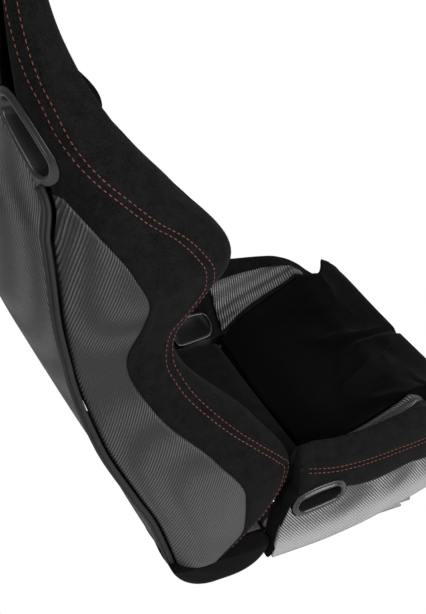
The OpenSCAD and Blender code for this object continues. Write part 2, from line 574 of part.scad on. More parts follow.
// Side of the insert, from its edge down to the suspension mat
function insert_side(y, w, zt) =
    let (low = mat_z(y) + 4, lip = min(top_z(y) + 2, zt - 10), n = min(insert_x(y), w - 2),
         edge = min(lip, zt - 6), mid = y < lobe_y ? edge - 1 : mix(low, edge, 0.5))
    y < lobe_y - 2 ? [[w - 2, lip], [n, lip - 0.5], [n - 1, low]]
    : [[n - 0.2, edge], [n - 0.5, mid], [n - 1, low]];
module cushion_insert() {
    wide = bw - 44;
    color("#0e0e0f") loft([for (y = insert_ys)
        let (zt = seat_top(y) - (y > insert_end - 1 ? 4 : 0), dip = seat_dip(y),
             w = y < lobe_y - 2 ? mix(wide, wide - 34, pow(max(0, (-base_front + 45 - y) / 47), 2))
                 : insert_x(y), side = insert_side(y, w, zt))
        concat([for (u = [1, 0.95, 0.8, 0.55, 0.3, 0.06, 0, -0.06, -0.3, -0.55, -0.8, -0.95, -1])
                   [u * w, y, zt - dip * pow(1 - u * u, 1.3) - 4 * pow(abs(u), 10)
                       - (u == 0 && y < -120 ? 4 : 0)]],
               [for (p = side) [-p[0], y, p[1]]],
               [for (k = [len(side) - 1:-1:0]) [side[k][0], y, side[k][1]]])]);
}
rear_end = pivot_y - arc_r - 2;
module cushion_rear() {
    w = insert_w / 2 - 1;
    color("#3a3a3c") loft([for (y = [insert_end + 0.8, insert_end + 6, 20, 45, 65, rear_end - 5, rear_end])
        let (zt = cushion_z + (y < insert_end + 1 ? 6 : y > rear_end - 2 ? 2 : y > 60 ? 12 : 10))
        concat([for (u = [1, 0.9, 0.5, 0, -0.5, -0.9, -1])
                   [u * w, y, zt - 4 * (1 - u * u) - 3 * pow(abs(u), 8)]],
               [[-w, y, mat_z(y) + 4], [w, y, mat_z(y) + 4]])]);
}
// Vinyl inlay on the inner face of a side bolster
inlay_way = [[-0.56, 0.83], [-0.69, 0.72], [-0.83, 0.56]];
function inlay_gap(y) = lookup(y, [[-base_front + 116, 1.6], [-base_front + 160, 0.95]]);
inlay_t = 2.4;
inlay_end = lap_y - lap_l / 2 - lap_rim - 3;
module bolster_inlay(s) {
    color("#77787b") side(s)
        loft([for (y = [for (q = base_y) if (q > -base_front + 110 && q <= inlay_end) q])
            concat([for (k = [0:2]) let (p = rise_at(y, k) + inlay_gap(y) * inlay_way[k]) [p[0], y, p[1]]],
                   [for (k = [2:-1:0]) let (p = rise_at(y, k) + (inlay_gap(y) + inlay_t) * inlay_way[k])
                       [p[0], y, p[1]]])]);
}
// Board across the front, under the cushion
module front_apron() {
    color("#707174") difference() {
        translate([-fw + 22, -base_front + 2, base_z]) cube([2 * fw - 44, 10, mat_z(14 - base_front) + 3.5 - base_z]);
        translate([0, -base_front, base_z - 26]) rotate([-90, 0, 0])
            cylinder(r = 60, h = 14);
    }
}

// --- floor slides ---
rail_x = rail_pitch / 2;
rail_lip = 7;
lower_web_z = foot_t + rail_t;
bolt_y = bolt_pitch / 2;
module lower_rail(s) {
    w = rail_w / 2;
    color("#55585c") side(s) difference() {
        translate([rail_x, lower_rail_l / 2, foot_t]) rotate([90, 0, 0])
            linear_extrude(lower_rail_l) polygon([[-w, 0], [w, 0], [w, rail_h], [w - rail_lip, rail_h],
                [w - rail_lip, rail_h - rail_t], [w - rail_t, rail_h - rail_t], [w - rail_t, rail_t],
                [-w + rail_t, rail_t], [-w + rail_t, rail_h - rail_t],
                [-w + rail_lip, rail_h - rail_t], [-w + rail_lip, rail_h], [-w, rail_h]]);
        for (y = [-bolt_y, bolt_y]) translate([rail_x, y, 0])
            cylinder(d = floor_bolt_d, h = slide_h);
    }
}
foot_l = 44;
module rail_feet(s) {
    color("#3c3e41") side(s) for (y = [-bolt_y, bolt_y]) difference() {
        translate([rail_x - rail_w / 2 - 4, y - foot_l / 2, 0]) cube([rail_w + 8, foot_l, foot_t]);
        translate([rail_x, y, -1]) cylinder(d = floor_bolt_d, h = foot_t + 2);
    }
}
web_w = 9;
tee_z = lower_web_z + slide_gap;
cap_t = 3;
module upper_rail(s) {
    w = rail_w / 2 - rail_t - slide_gap;
    c = web_w / 2;
    h = slide_h - tee_z;
    color("#7a7d81") side(s) translate([rail_x, upper_rail_l / 2, tee_z]) rotate([90, 0, 0])
        linear_extrude(upper_rail_l) polygon([[-w, 0], [w, 0], [w, 5], [c, 5], [c, h - cap_t],
            [13, h - cap_t], [13, h], [-13, h], [-13, h - cap_t], [-c, h - cap_t], [-c, 5],
            [-w, 5]]);
}

// --- steel frame of the seat base ---
beam_w = 40;
beam_y = [-100, 96];
beam_bolt_d = 8;
module cross_beam(y) {
    h = plate_x + plate_t;
    color("#2b2c2e") difference() {
        translate([-h, y - beam_w / 2, slide_h]) cube([2 * h, beam_w, beam_h]);
        translate([-h - 1, y - beam_w / 2 + 2, slide_h + 2]) cube([2 * h + 2, beam_w - 4, beam_h - 4]);
        for (s = [-1, 1]) translate([s * rail_x, y, slide_h - 1])
            cylinder(d = beam_bolt_d + 0.4, h = beam_h + 2);
    }
}
module beam_bolts() {
    color("#9a9ca0") for (s = [-1, 1], y = beam_y) translate([s * rail_x, y, slide_h]) {
        cylinder(d = beam_bolt_d, h = beam_h);
        translate([0, 0, beam_h]) cylinder(d = 14, h = 5, $fn = 6);
    }
}
plate_z = slide_h + beam_h;
front_tube_y = -146;
front_tube_at = [front_tube_y, mat_z(front_tube_y) - tube_r - 5];
rear_tube_at = [70, mat_z(70) - tube_r - 5.2];
plate_bolt_d = 8;
module side_plate(s) {
    color("#2b2c2e") side(s) difference() {
        union() {
            slab(plate_x, plate_x + plate_t) polygon([[-158, plate_z], [120, plate_z],
                [pivot_y + 12, pivot_z - 28], [pivot_y, pivot_z + 30], [pivot_y - 26, pivot_z + 16],
                [110, 122], [40, 122], [-60, 148], [-158, 148]]);
            translate([0, pivot_y, pivot_z]) bar_x(plate_x, plate_x + plate_t, disc_d / 2);
        }
        translate([0, pivot_y, pivot_z]) bar_x(plate_x - 1, plate_x + plate_t + 1, rod_d / 2 + rod_gap);
        slab(plate_x - 1, plate_x + plate_t + 1) polygon([[-104, 74], [-20, 74], [-40, 118],
            [-104, 124]]);
        slab(plate_x - 1, plate_x + plate_t + 1) polygon([[4, 74], [84, 74], [96, 104], [4, 104]]);
    }
}
module cross_tube(p) { color("#232426") translate([0, p[0], p[1]]) bar_x(-plate_x, plate_x, tube_r); }
// Zigzag wires that carry the cushions, and the rail that each end hooks into
wire_d = 4;
wire_y = [for (y = [-120:38:40]) y];
module seat_wires() {
    color("#8d9094") for (y = wire_y) translate([0, y, mat_z(y) - 2])
        bar_x(-plate_x + 8, plate_x - 8, wire_d / 2);
    color("#8d9094") for (s = [-1, 1]) side(s) bar([plate_x - 8, front_tube_y, mat_z(front_tube_y) - 1],
        [plate_x - 8, rear_tube_at[0], mat_z(rear_tube_at[0]) - 1], 4);
}
// Plastic tray that spreads the load under the cushions
tray_w = insert_w / 2 - 6;
module seat_tray() {
    color("#1a1a1b") difference() {
        slab(-tray_w, tray_w) polygon([for (p = [[-210, 0.4], [70, 0.4], [70, 3.6], [-210, 3.6]])
            [p[0], mat_z(p[0]) + p[1]]]);
        for (x = [-110, -55, 0, 55, 110], y = [-140, -60, 20]) translate([x, y, 0])
            cylinder(d = 26, h = bolster_z);
    }
}

// --- recliners ---
disc_split = disc_t / 2;
module recliner_half(s, x0, x1, r) {
    color("#8b8e92") side(s) translate([0, pivot_y, pivot_z]) difference() {
        bar_x(x0, x1, r);
        bar_x(x0 - 1, x1 + 1, rod_d / 2 + rod_gap);
    }
}
module recliner_arm(s) {
    color("#2b2c2e") side(s) difference() {
        union() {
            slab(arm_x, arm_x + plate_t) polygon([[pivot_y - 8, pivot_z + 30],
                [pivot_y + 24, pivot_z - 20], [tube_y(wing_z + 62) + 5, wing_z + 55],
                [tube_y(hip_z) + 6, hip_z], [tube_y(hip_z) - 14, hip_z],
                [tube_y(wing_z + 62) - 26, wing_z + 68]]);
            translate([0, pivot_y, pivot_z]) bar_x(arm_x, arm_x + plate_t, disc_d / 2);
        }
        translate([0, pivot_y, pivot_z]) bar_x(arm_x - 1, arm_x + plate_t + 1, rod_d / 2 + rod_gap);
    }
}
module back_tube(s) {
    pts = [for (p = tube_path) [p[2], p[1], p[0]]];
    color("#232426") side(s) for (i = [1:len(pts) - 1]) {
        bar(pts[i - 1], pts[i], tube_r);
        translate(pts[i]) sphere(r = tube_r + bead);
    }
}
module back_cross_bars() {
    color("#232426") for (p = [tube_path[0] + [4, 1, 0], tube_path[3]]) translate([0, p[1], p[0]])
        bar_x(-p[2] + tube_r - 1, p[2] - tube_r + 1, tube_r - 1);
}
module head_hoop() {
    low = [hoop_x, hoop_y[0], tube_path[3][0] + tube_r - 2];
    top = [hoop_x, hoop_y[1], hoop_top];
    color("#232426") {
        for (s = [-1, 1]) side(s) {
            bar(low, top, hoop_r);
            translate(top) sphere(r = hoop_r + bead);
        }
        translate([0, top[1], top[2]]) bar_x(-hoop_x, hoop_x, hoop_r);
    }
}
back_wire_z = [for (z = [hip_z - 40:62:waist_z + 100]) z];
function tube_at(z) = lookup(z, [for (p = tube_path) [p[0], p[2]]]);
module back_wires() {
    color("#8d9094") for (z = back_wire_z) translate([0, tube_y(z) - 4, z])
        bar_x(-tube_at(z) + tube_r - 1, tube_at(z) - tube_r + 1, wire_d / 2);
}

// --- recliner lever, with the rod that joins both recliners ---
rod_r = rod_d / 2;
hub_x = hw + 7;
lever_t = 8;
module pivot_rod() {
    color("#9a9ca0") translate([0, pivot_y, pivot_z]) {
        bar_x(-arm_x - plate_t - 0.4, hub_x + 1, rod_r);
        bar_x(-arm_x - plate_t - 3.4, -arm_x - plate_t - 0.4, rod_r + 3);
    }
}
lever_rise = 9;
module lever_arm() {
    color("#18181a") translate([hub_x, pivot_y, pivot_z]) difference() {
        union() {
            bar_x(0, lever_t + 4, 19);
            rotate([-lever_rise, 0, 0]) translate([0, -lever_l + 46, -10])
                cube([lever_t, lever_l - 46, 20]);
        }
        bar_x(-1, 1, rod_r);
    }
}
module lever_grip() {
    color("#0f0f10") translate([hub_x + lever_t / 2, pivot_y, pivot_z]) rotate([-lever_rise, 0, 0])
        hull() for (y = [-lever_l + 46, -lever_l - 10], z = [-7, 7]) translate([0, y, z])
            sphere(r = 6.5, $fn = 24);
}

// --- slide handle ---
bar_x0 = rail_x - rail_w / 2 - 14;
bar_pivot = [-upper_rail_l / 2 + 6, 22];
bar_front = bar_pivot[0] - bar_l;
handle_z = 24;
module slide_bar() {
    r = bar_d / 2;
    color("#2b2c2e") {
        for (s = [-1, 1]) side(s) {
            bar([bar_x0, bar_pivot[0] - 8, bar_pivot[1]], [bar_x0, bar_front, handle_z], r);
            translate([bar_x0, bar_front, handle_z]) sphere(r = r + bead);
            difference() {
                translate([bar_x0 - 4, bar_pivot[0] - 12, bar_pivot[1] - 9]) cube([8, 30, 16]);
                translate([0, bar_pivot[0], bar_pivot[1]]) bar_x(bar_x0 - 6, bar_x0 + 6, 4 + rod_gap);
            }
        }
        translate([0, bar_front, handle_z]) bar_x(-bar_x0, bar_x0, r);
    }
}
module slide_grip() {
    color("#0f0f10") translate([0, bar_front, handle_z]) difference() {
        bar_x(-60, 60, bar_d / 2 + 3);
        bar_x(-61, 61, bar_d / 2);
    }
}
// Bracket on the upper rail that the handle turns on
module handle_pivot(s) {
    x = bar_x0 + bar_d / 2 + 1;
    y = bar_pivot[0] - 9;
    color("#7a7d81") side(s) {
        translate([0, bar_pivot[0], bar_pivot[1]]) bar_x(bar_x0 - 7, x + 1, 4);
        translate([x, y, bar_pivot[1] - 8]) cube([3, 18, slide_h - bar_pivot[1] + 11]);
        translate([x, y, slide_h]) cube([rail_x - x, 18, 3]);
    }
}
module recliner_disc(s) { recliner_half(s, plate_x + plate_t, plate_x + plate_t + disc_split, disc_d / 2); }
module arm_disc(s) {
    recliner_half(s, plate_x + plate_t + disc_split + 0.1, arm_x, disc_d / 2 - 4);
}

// --- the pieces ---

lower_rail(1);  // lower_rail_l
lower_rail(-1);  // lower_rail_r
rail_feet(1);  // rail_feet_l
rail_feet(-1);  // rail_feet_r
upper_rail(1);  // upper_rail_l
upper_rail(-1);  // upper_rail_r
cross_beam(beam_y[0]);  // cross_beam_front
cross_beam(beam_y[1]);  // cross_beam_rear
beam_bolts();
side_plate(1);  // side_plate_l
side_plate(-1);  // side_plate_r
cross_tube(front_tube_at);  // front_tube
cross_tube(rear_tube_at);  // rear_tube
seat_wires();
seat_tray();
recliner_disc(1);  // recliner_disc_l
recliner_disc(-1);  // recliner_disc_r
cushion_insert();
cushion_rear();
base_bolster(1);  // base_bolster_l
base_bolster(-1);  // base_bolster_r
base_panel(1);  // base_panel_l
base_panel(-1);  // base_panel_r
bolster_inlay(1);  // bolster_inlay_l
bolster_inlay(-1);  // bolster_inlay_r
lap_bezel(1);  // lap_bezel_l
lap_bezel(-1);  // lap_bezel_r
front_apron();
recliner_arm(1);  // recliner_arm_l
recliner_arm(-1);  // recliner_arm_r
arm_disc(1);  // arm_disc_l
arm_disc(-1);  // arm_disc_r
back_tube(1);  // back_tube_l
back_tube(-1);  // back_tube_r
back_cross_bars();
head_hoop();
back_wires();
back_cushion();
head_cushion();
back_bolster_l();
back_bolster_r();
side_panel(1);  // side_panel_l
side_panel(-1);  // side_panel_r
back_panel();
piping(1);  // piping_l
piping(-1);  // piping_r
harness_bezel(1);  // harness_bezel_l
harness_bezel(-1);  // harness_bezel_r
harness_trim(1);  // harness_trim_l
harness_trim(-1);  // harness_trim_r
boot_centre();
boot_cap(1);  // boot_cap_l
boot_cap(-1);  // boot_cap_r
pivot_rod();
lever_arm();
lever_grip();
slide_bar();
slide_grip();
handle_pivot(1);  // handle_pivot_l
handle_pivot(-1);  // handle_pivot_r
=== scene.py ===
from math import asin, cos, degrees, exp, pi, radians, sin, sqrt
import bmesh
import bpy
import numpy as np
from numpy import arange, linspace
from mathutils import Matrix, Vector
from mathutils.bvhtree import BVHTree


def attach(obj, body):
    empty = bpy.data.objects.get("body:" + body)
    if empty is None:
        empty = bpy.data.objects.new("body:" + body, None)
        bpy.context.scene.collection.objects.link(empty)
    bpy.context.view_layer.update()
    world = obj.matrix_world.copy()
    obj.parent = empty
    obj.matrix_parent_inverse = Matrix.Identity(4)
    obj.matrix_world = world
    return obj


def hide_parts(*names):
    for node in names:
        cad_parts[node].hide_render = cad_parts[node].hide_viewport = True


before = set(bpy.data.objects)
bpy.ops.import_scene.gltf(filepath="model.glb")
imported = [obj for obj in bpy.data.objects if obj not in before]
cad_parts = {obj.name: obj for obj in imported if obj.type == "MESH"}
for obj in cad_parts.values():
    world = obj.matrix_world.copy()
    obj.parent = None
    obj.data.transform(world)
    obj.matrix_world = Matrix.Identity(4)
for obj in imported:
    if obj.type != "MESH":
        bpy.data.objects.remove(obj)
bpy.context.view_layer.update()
scene = bpy.context.scene


def linked(name, data):
    """A new object in the scene."""
    obj = bpy.data.objects.new(name, data)
    scene.collection.objects.link(obj)
    return obj

# ---- camera
PICTURE_HEIGHT, FOCAL_PIXELS, SENSOR = 614, 1192.1, 36
CAMERA_PLACE = (-1.2477, 0.6728, 1.2856)
CAMERA_BACK, CAMERA_RIGHT = (-0.7436, 0.3551, 0.5665), (-0.4196, -0.9075, 0.0181)

camera_data = bpy.data.cameras.new("camera")
camera_data.sensor_width = SENSOR
camera_data.sensor_fit = "AUTO"
camera_data.lens = FOCAL_PIXELS / PICTURE_HEIGHT * SENSOR
camera_data.clip_start = 0.05
camera = linked("camera", camera_data)
back = Vector(CAMERA_BACK).normalized()
right = Vector(CAMERA_RIGHT)
right = (right - back * right.dot(back)).normalized()
up = back.cross(right)
basis = Matrix((right, up, back)).transposed().to_4x4()
camera.matrix_world = Matrix.Translation(CAMERA_PLACE) @ basis
scene.camera = camera
scene.view_settings.view_transform = "Standard"


# ---- seat surfaces, in mm as in the CAD
def at(table, z):
    """Smooth curve through [position, value] stations."""
    last = len(table) - 1
    z = min(max(z, table[0][0]), table[last][0])
    i = max(k for k in range(last) if table[k][0] <= z or k == 0)
    rise = [(b[1] - a[1]) / (b[0] - a[0]) for a, b in zip(table, table[1:])]

    def slope(k):
        if k == 0:
            return rise[0]
        if k == last:
            return rise[-1]
        a, b = rise[k - 1], rise[k]
        return 0 if a * b <= 0 else 2 * a * b / (a + b)

    h = table[i + 1][0] - table[i][0]
    u = (z - table[i][0]) / h
    return (table[i][1] * (2 * u**3 - 3 * u * u + 1) + table[i + 1][1] * (3 * u * u - 2 * u**3)
            + h * (slope(i) * (u**3 - 2 * u * u + u) + slope(i + 1) * (u**3 - u * u)))


def mix(a, b, u):
    """From a at u = 0 to b at u = 1."""
    return a + (b - a) * u


def line(table, z):
    """Straight lines through [position, value] stations."""
    return float(np.interp(z, [p[0] for p in table], [p[1] for p in table]))


# Heights: foot of the back, hip wings, waist, chest wings, harness slots, head and crown
WING_Z, HIP_Z, WAIST_Z, CHEST_Z, SLOT_Z, HEAD_Z, TOP_Z = 100, 223, 442, 569, 723, 870, 937
PIVOT_Y, PIVOT_Z = 176, 118
PLATE_X, WING_X, HIP_HALF = 188, 207, 250
SKIN, SKIN_GAP = 4, 0.9
SIDE_END = SLOT_Z - 52
# The backrest by height: half width, front, rear, half width of the rear edge, bulge of the back panel, seam
# between suede and vinyl, front of the cushions, and thickness of the wings
XO = [[100, 241], [223, 250], [442, 213], [569, 241], [640, 240], [701, 227], [767, 185],
      [822, 154], [870, 142], [937, 122]]
YF = [[100, 152], [163, 89], [223, 66], [310, 117], [414, 209], [442, 217], [513, 184], [569, 157],
      [667, 223], [760, 295], [870, 328], [937, 334]]
YR = [[100, 236], [186, 263], [238, 287], [339, 330], [448, 358], [556, 371], [621, 371], [658, 363],
      [723, 376], [773, 383], [870, 385], [937, 373]]
XR = [[100, 216], [245, 216], [453, 213], [537, 212], [584, 206], [658, 180], [691, 146], [727, 117],
      [776, 100], [870, 98], [937, 80]]
BULGE = [[100, 8], [223, 5], [310, 7], [380, 13.4], [442, 22.4], [520, 32], [589, 32], [723, 19.2], [870, 8]]
SEAM = [[100, 176], [146, 139], [212, 142], [275, 179], [372, 258], [447, 287], [497, 272],
        [528, 266], [583, 287], [634, 320], [681, 355]]
PAD = [[130, 118], [165, 102], [200, 120], [320, 226], [442, 279], [569, 293], [676, 300], [776, 328],
       [870, 344], [937, 351]]
WING_T = [[100, 40], [223, 42], [442, 46], [569, 40], [673, 32], [937, 28]]
# Half widths of the two back cushions, where they start, and the crown's rounding
PAD_X, HEAD_X, GATE_Z, NECK_Z, CROWN_IN = 134, 74, 241, 633, 26
TUBE_Y = [[162, 236], [293, 294], [442, 340], [621, 357]]
FOAM_BACK = [[z, y - 13.5] for z, y in TUBE_Y] + [[645, 348.5], [882, 364.5]]


def tuck(z):
    """How far the rounded crown draws the outline in."""
    if z < TOP_Z - CROWN_IN:
        return 0
    return CROWN_IN - sqrt(max(0, CROWN_IN**2 - (z - TOP_Z + CROWN_IN) ** 2))


def xo(z):
    """Half width."""
    return at(XO, z) - tuck(z)


def yf(z):
    """Front edge of the wings."""
    return at(YF, z) + 0.6 * tuck(z)


def yr(z):
    """Rear."""
    return at(YR, z) - 0.6 * tuck(z)


def xr(z):
    """Half width of the rear edge."""
    return min(at(XR, z), xo(z) - 3)


def ys(z):
    """Seam between suede and vinyl."""
    return min(at(SEAM, z), yr(z) - 14)


def xi(z):
    """Inner side of the bolster, beside the cushions."""
    return line([[GATE_Z, WING_X], [GATE_Z + 12, PAD_X + 1], [NECK_Z, PAD_X + 1],
                 [NECK_Z + 30, HEAD_X + 1]], z)


def xw(z):
    """Where the wing meets the hollow for the sitter."""
    return max(xo(z) - at(WING_T, z), xi(z) + 2)


def yb(z):
    """Rear of the foam."""
    return min(yr(z) - 2, line(FOAM_BACK, z))


def yc(z):
    """Front of the cushions."""
    return min(at(PAD, z) + 0.2 * tuck(z), yb(z) - 2)


# How fast the rear outer face curves in, and how far its front edge does
ROUNDING, EDGE_IN = 2.2, 34


def xs(y, z):
    """Outer face of the backrest at depth y and height z."""
    widest = mix(yr(z), yf(z), 0.5)
    if y >= widest:
        return xo(z) - (xo(z) - xr(z)) * ((y - widest) / (yr(z) - widest)) ** ROUNDING
    q = min(1, (widest - y) / (widest - yf(z)))
    return xo(z) - EDGE_IN * (1 - (1 - q**2.5) ** 0.4)


def y_side(x, z):
    """Depth of the rear outer face at half width x and height z."""
    widest = mix(yr(z), yf(z), 0.5)
    q = (xo(z) - x) / max(1, xo(z) - xr(z))
    return widest + (yr(z) - widest) * min(1, max(0, q)) ** (1 / ROUNDING)


INSERT_HALF, CUSHION_Z, BASE_FRONT, BASE_Z = 160, 136, 256, 72
SHELF_Z, BASE_HALF, FRONT_HALF, BOOT_R, INSERT_END = 152, 249, 172, 84, -8
ARC_R = BOOT_R + 4.5
ARC_END = PIVOT_Y - sqrt(ARC_R**2 - (PIVOT_Z - BASE_Z) ** 2)
BASE_BACK, LOBE_EDGE = 62, -BASE_FRONT + 66
# The base by depth: half width, top of the bolster and its fall at the rear, hem of the suede, inner side of
# the bolster, top of the insert and its hollow
BX = [[-256, 172], [-242, 190], [-213, 205], [-160, 220], [-105, 231], [-40, 242], [30, 248],
      [ARC_END, 249]]
TOP = [[-256, 158], [-242, 179], [-226, 191], [-205, 200], [-190, 211], [-173, 225], [-150, 237],
       [-126, 243], [-60, 245], [-20, 247], [BASE_BACK, 262]]
REAR_FALL = [[63, 191], [74, 175], [82, 155], [87, 139]]
HEM = [[-256, 108], [-236, 124], [-200, 140], [-159, 146], [-127, 153], [-76, 154], [-36, 160],
       [-17, 166], [30, 171], [76, 178]]
INNER = [[-256, 152], [-166, 172], [-100, 172], [20, 161], [BASE_BACK, 161]]
SEAT_TOP = [[-258, 181], [-252, 206], [-244, 219], [-230, 226], [-209, 231], [-164, 235], [-134, 220],
            [-92, 202], [-52, 184], [-8, 151]]
SEAT_DIP = [[-256, 2], [-240, 8], [-192, 18], [-130, 20], [-90, 14], [-48, 8], [-8, 3]]
# Bolster's inner face, from the sill to the crest: share of the way out against share of the height
RISE_X, RISE_Z = [0, 0.4, 0.75, 1], [0, 0.23, 0.63, 1]


def seat_top(y):
    """Top of the insert."""
    return at(SEAT_TOP, y)


def crest_x(y):
    """Half width at the crest of the base bolster."""
    return at(BX, y) - 12


def sill_z(y):
    """Where the bolster starts to rise, beside the insert."""
    return max(SHELF_Z + 3, min(seat_top(min(y, INSERT_END)) - 2, top_z(y) - 8))


def in_x(y, z):
    """Inner face of the base bolster, from the sill out to its crest."""
    u = (z - sill_z(y)) / (top_z(y) - sill_z(y))
    return mix(at(INNER, y), crest_x(y), float(np.interp(u, RISE_Z, RISE_X)))


def arc_z(y):
    """Underside of the base where it clears the boot."""
    return PIVOT_Z - sqrt(max(0, ARC_R**2 - (PIVOT_Y - y) ** 2))


def top_z(y):
    """Top of the base bolster."""
    if y <= BASE_BACK:
        return at(TOP, y)
    if y < PIVOT_Y - ARC_R + 1:
        return line(REAR_FALL, y)
    return max(BASE_Z + 4, arc_z(y))


def hem_z(y):
    """Upper edge of the vinyl."""
    rear = 400 if y < 76 else mix(176, arc_z(ARC_END - 6), min(1, (y - 76) / 30))
    return min(at(HEM, y), top_z(y) - 8, rear)


def base_x(y, z):
    """Outer face of the base."""
    bulge = 15 * ((170 - z) / 125) ** 2 if z < 170 else 4 * ((z - 170) / 70) ** 2
    return at(BX, y) - bulge


def insert_x(y):
    """Half width of the insert between the bolsters."""
    return at(INNER, y) - 1.5


def mat_z(y):
    """Height of the suspension mat."""
    return 112 - 0.165 * y


def behind_lobe(y):
    """0 on the front lobes, 1 behind them."""
    u = min(1, max(0, (y - LOBE_EDGE + 26) / 28))
    return u * u * (3 - 2 * u)


# ---- making pieces
def piece(name, verts, faces):
    """A mesh from points in mm, smooth shaded."""
    mesh = bpy.data.meshes.new(name)
    mesh.from_pydata((np.asarray(verts, float) * 0.001).tolist(), [], faces)
    mesh.validate()
    mesh.shade_smooth()
    return linked(name, mesh)


def skin_faces(m, n, band=False):
    """Quads between m closed rows of n points. band: the last row meets the first."""
    faces = []
    for i in range(m if band else m - 1):
        k = (i + 1) % m
        for j in range(n):
            after = (j + 1) % n
            faces.append((i * n + j, i * n + after, k * n + after, k * n + j))
    return faces


def outward(obj):
    """Turns every face outward."""
    bm = bmesh.new()
    bm.from_mesh(obj.data)
    bmesh.ops.recalc_face_normals(bm, faces=bm.faces)
    bm.to_mesh(obj.data)
    bm.free()
    return obj


def grid(name, rows, band=False):
    """A closed piece skinned over rows of points."""
    m, n = len(rows), len(rows[0])
    faces = skin_faces(m, n, band)
    if not band:
        faces += [tuple(range(n - 1, -1, -1)), tuple(range((m - 1) * n, m * n))]
    return outward(piece(name, [p for r in rows for p in r], faces))


def mirrored(obj, name):
    """The same piece on the other side of the seat."""
    mesh = obj.data.copy()
    mesh.name = name
    mesh.transform(Matrix.Scale(-1, 4, (1, 0, 0)))
    mesh.flip_normals()
    return linked(name, mesh)


def cut(obj, tool):
    """Takes the solid tool out of obj."""
    mod = obj.modifiers.new("cut", "BOOLEAN")
    mod.object = tool
    mod.solver = "EXACT"
    settle(obj)
    bpy.data.objects.remove(tool)
    return obj


def settle(obj):
    """Applies obj's modifiers to its mesh."""
    view = bpy.context.evaluated_depsgraph_get()
    mesh = bpy.data.meshes.new_from_object(obj.evaluated_get(view))
    obj.modifiers.clear()
    obj.data = mesh
    obj.data.shade_smooth()
    return obj


def points(obj):
    """An object's points, in metres."""
    co = np.empty(len(obj.data.vertices) * 3)
    obj.data.vertices.foreach_get("co", co)
    return co.reshape(-1, 3)


def put_points(obj, co):
    obj.data.vertices.foreach_set("co", np.asarray(co, float).ravel())
    obj.data.update()


STUFFING_STIFFNESS, STUFFING_FRAMES = 15, 20


def stuffed(obj, pressure, cap, held):
    """Blows the cover up with a cloth simulation and keeps at most cap mm of its movement.
    held(x, y, z) tells whether a point stays."""
    before = points(obj)
    cloth = obj.modifiers.new("cloth", "CLOTH").settings
    cloth.use_pressure = True
    cloth.uniform_pressure_force = pressure
    cloth.effector_weights.gravity = 0
    cloth.tension_stiffness = cloth.compression_stiffness = STUFFING_STIFFNESS
    cloth.quality = 5
    group = obj.vertex_groups.new(name="held")
    group.add([i for i, p in enumerate(before * 1000) if held(*p)], 1.0, "REPLACE")
    cloth.vertex_group_mass = "held"
    for f in range(1, STUFFING_FRAMES + 1):
        scene.frame_set(f)
    shown = obj.evaluated_get(bpy.context.evaluated_depsgraph_get())
    move = np.array([v.co for v in shown.data.vertices]) - before
    size = np.linalg.norm(move, axis=1, keepdims=True)
    limit = cap * 0.001
    move *= limit * np.tanh(size / limit) / np.maximum(size, 1e-9)
    obj.modifiers.clear()
    obj.vertex_groups.clear()
    put_points(obj, before + move)
    scene.frame_set(1)
    return obj


def dee(w, h, g):
    """D outline of a belt slot: w wide, h high, grown by g."""
    r, c = h / 2 + g, w / 2 - h / 2
    quarter = pi / 2
    along = linspace(0, 1, 12)[1:-1]
    low = [(c + r * cos(a), r * sin(a)) for a in linspace(-quarter, quarter, 13)]
    top = [(mix(c, -c, u), r + 2 * sin(pi * u)) for u in along]
    far = [(-c + r * cos(a), r * sin(a)) for a in linspace(quarter, 3 * quarter, 13)]
    rest = [(mix(-c, c, u), -r) for u in along]
    return low + top + far + rest


def placed(outline, tilt, centre):
    """An outline turned by tilt degrees and moved to centre."""
    s, c = sin(radians(tilt)), cos(radians(tilt))
    return [(x * c - y * s + centre[0], x * s + y * c + centre[1]) for x, y in outline]


# Width, height, tilt and centre of the belt slots, and the width of the rims round them
HARNESS_W, HARNESS_H, HARNESS_TILT, HARNESS_AT, HARNESS_RIM = 92, 30, -42, (145, SLOT_Z), 12
LAP_W, LAP_H, LAP_TILT, LAP_AT, LAP_RIM = 66, 22, -5, (30, 167), 9


def harness_outline(g):
    return placed(dee(HARNESS_W, HARNESS_H, g), HARNESS_TILT, HARNESS_AT)


def lap_outline(g):
    return placed(dee(LAP_W, LAP_H, g), LAP_TILT, LAP_AT)


def harness_tool(g):
    """A solid that cuts the harness slot, grown by g, out of a cover."""
    pts = harness_outline(g)
    return grid("tool", [[(x, y, z) for x, z in pts] for y in (200, 520)])


def lap_tool(g):
    pts = lap_outline(g)
    return grid("tool", [[(x, y, z) for y, z in pts] for x in (100, 320)])


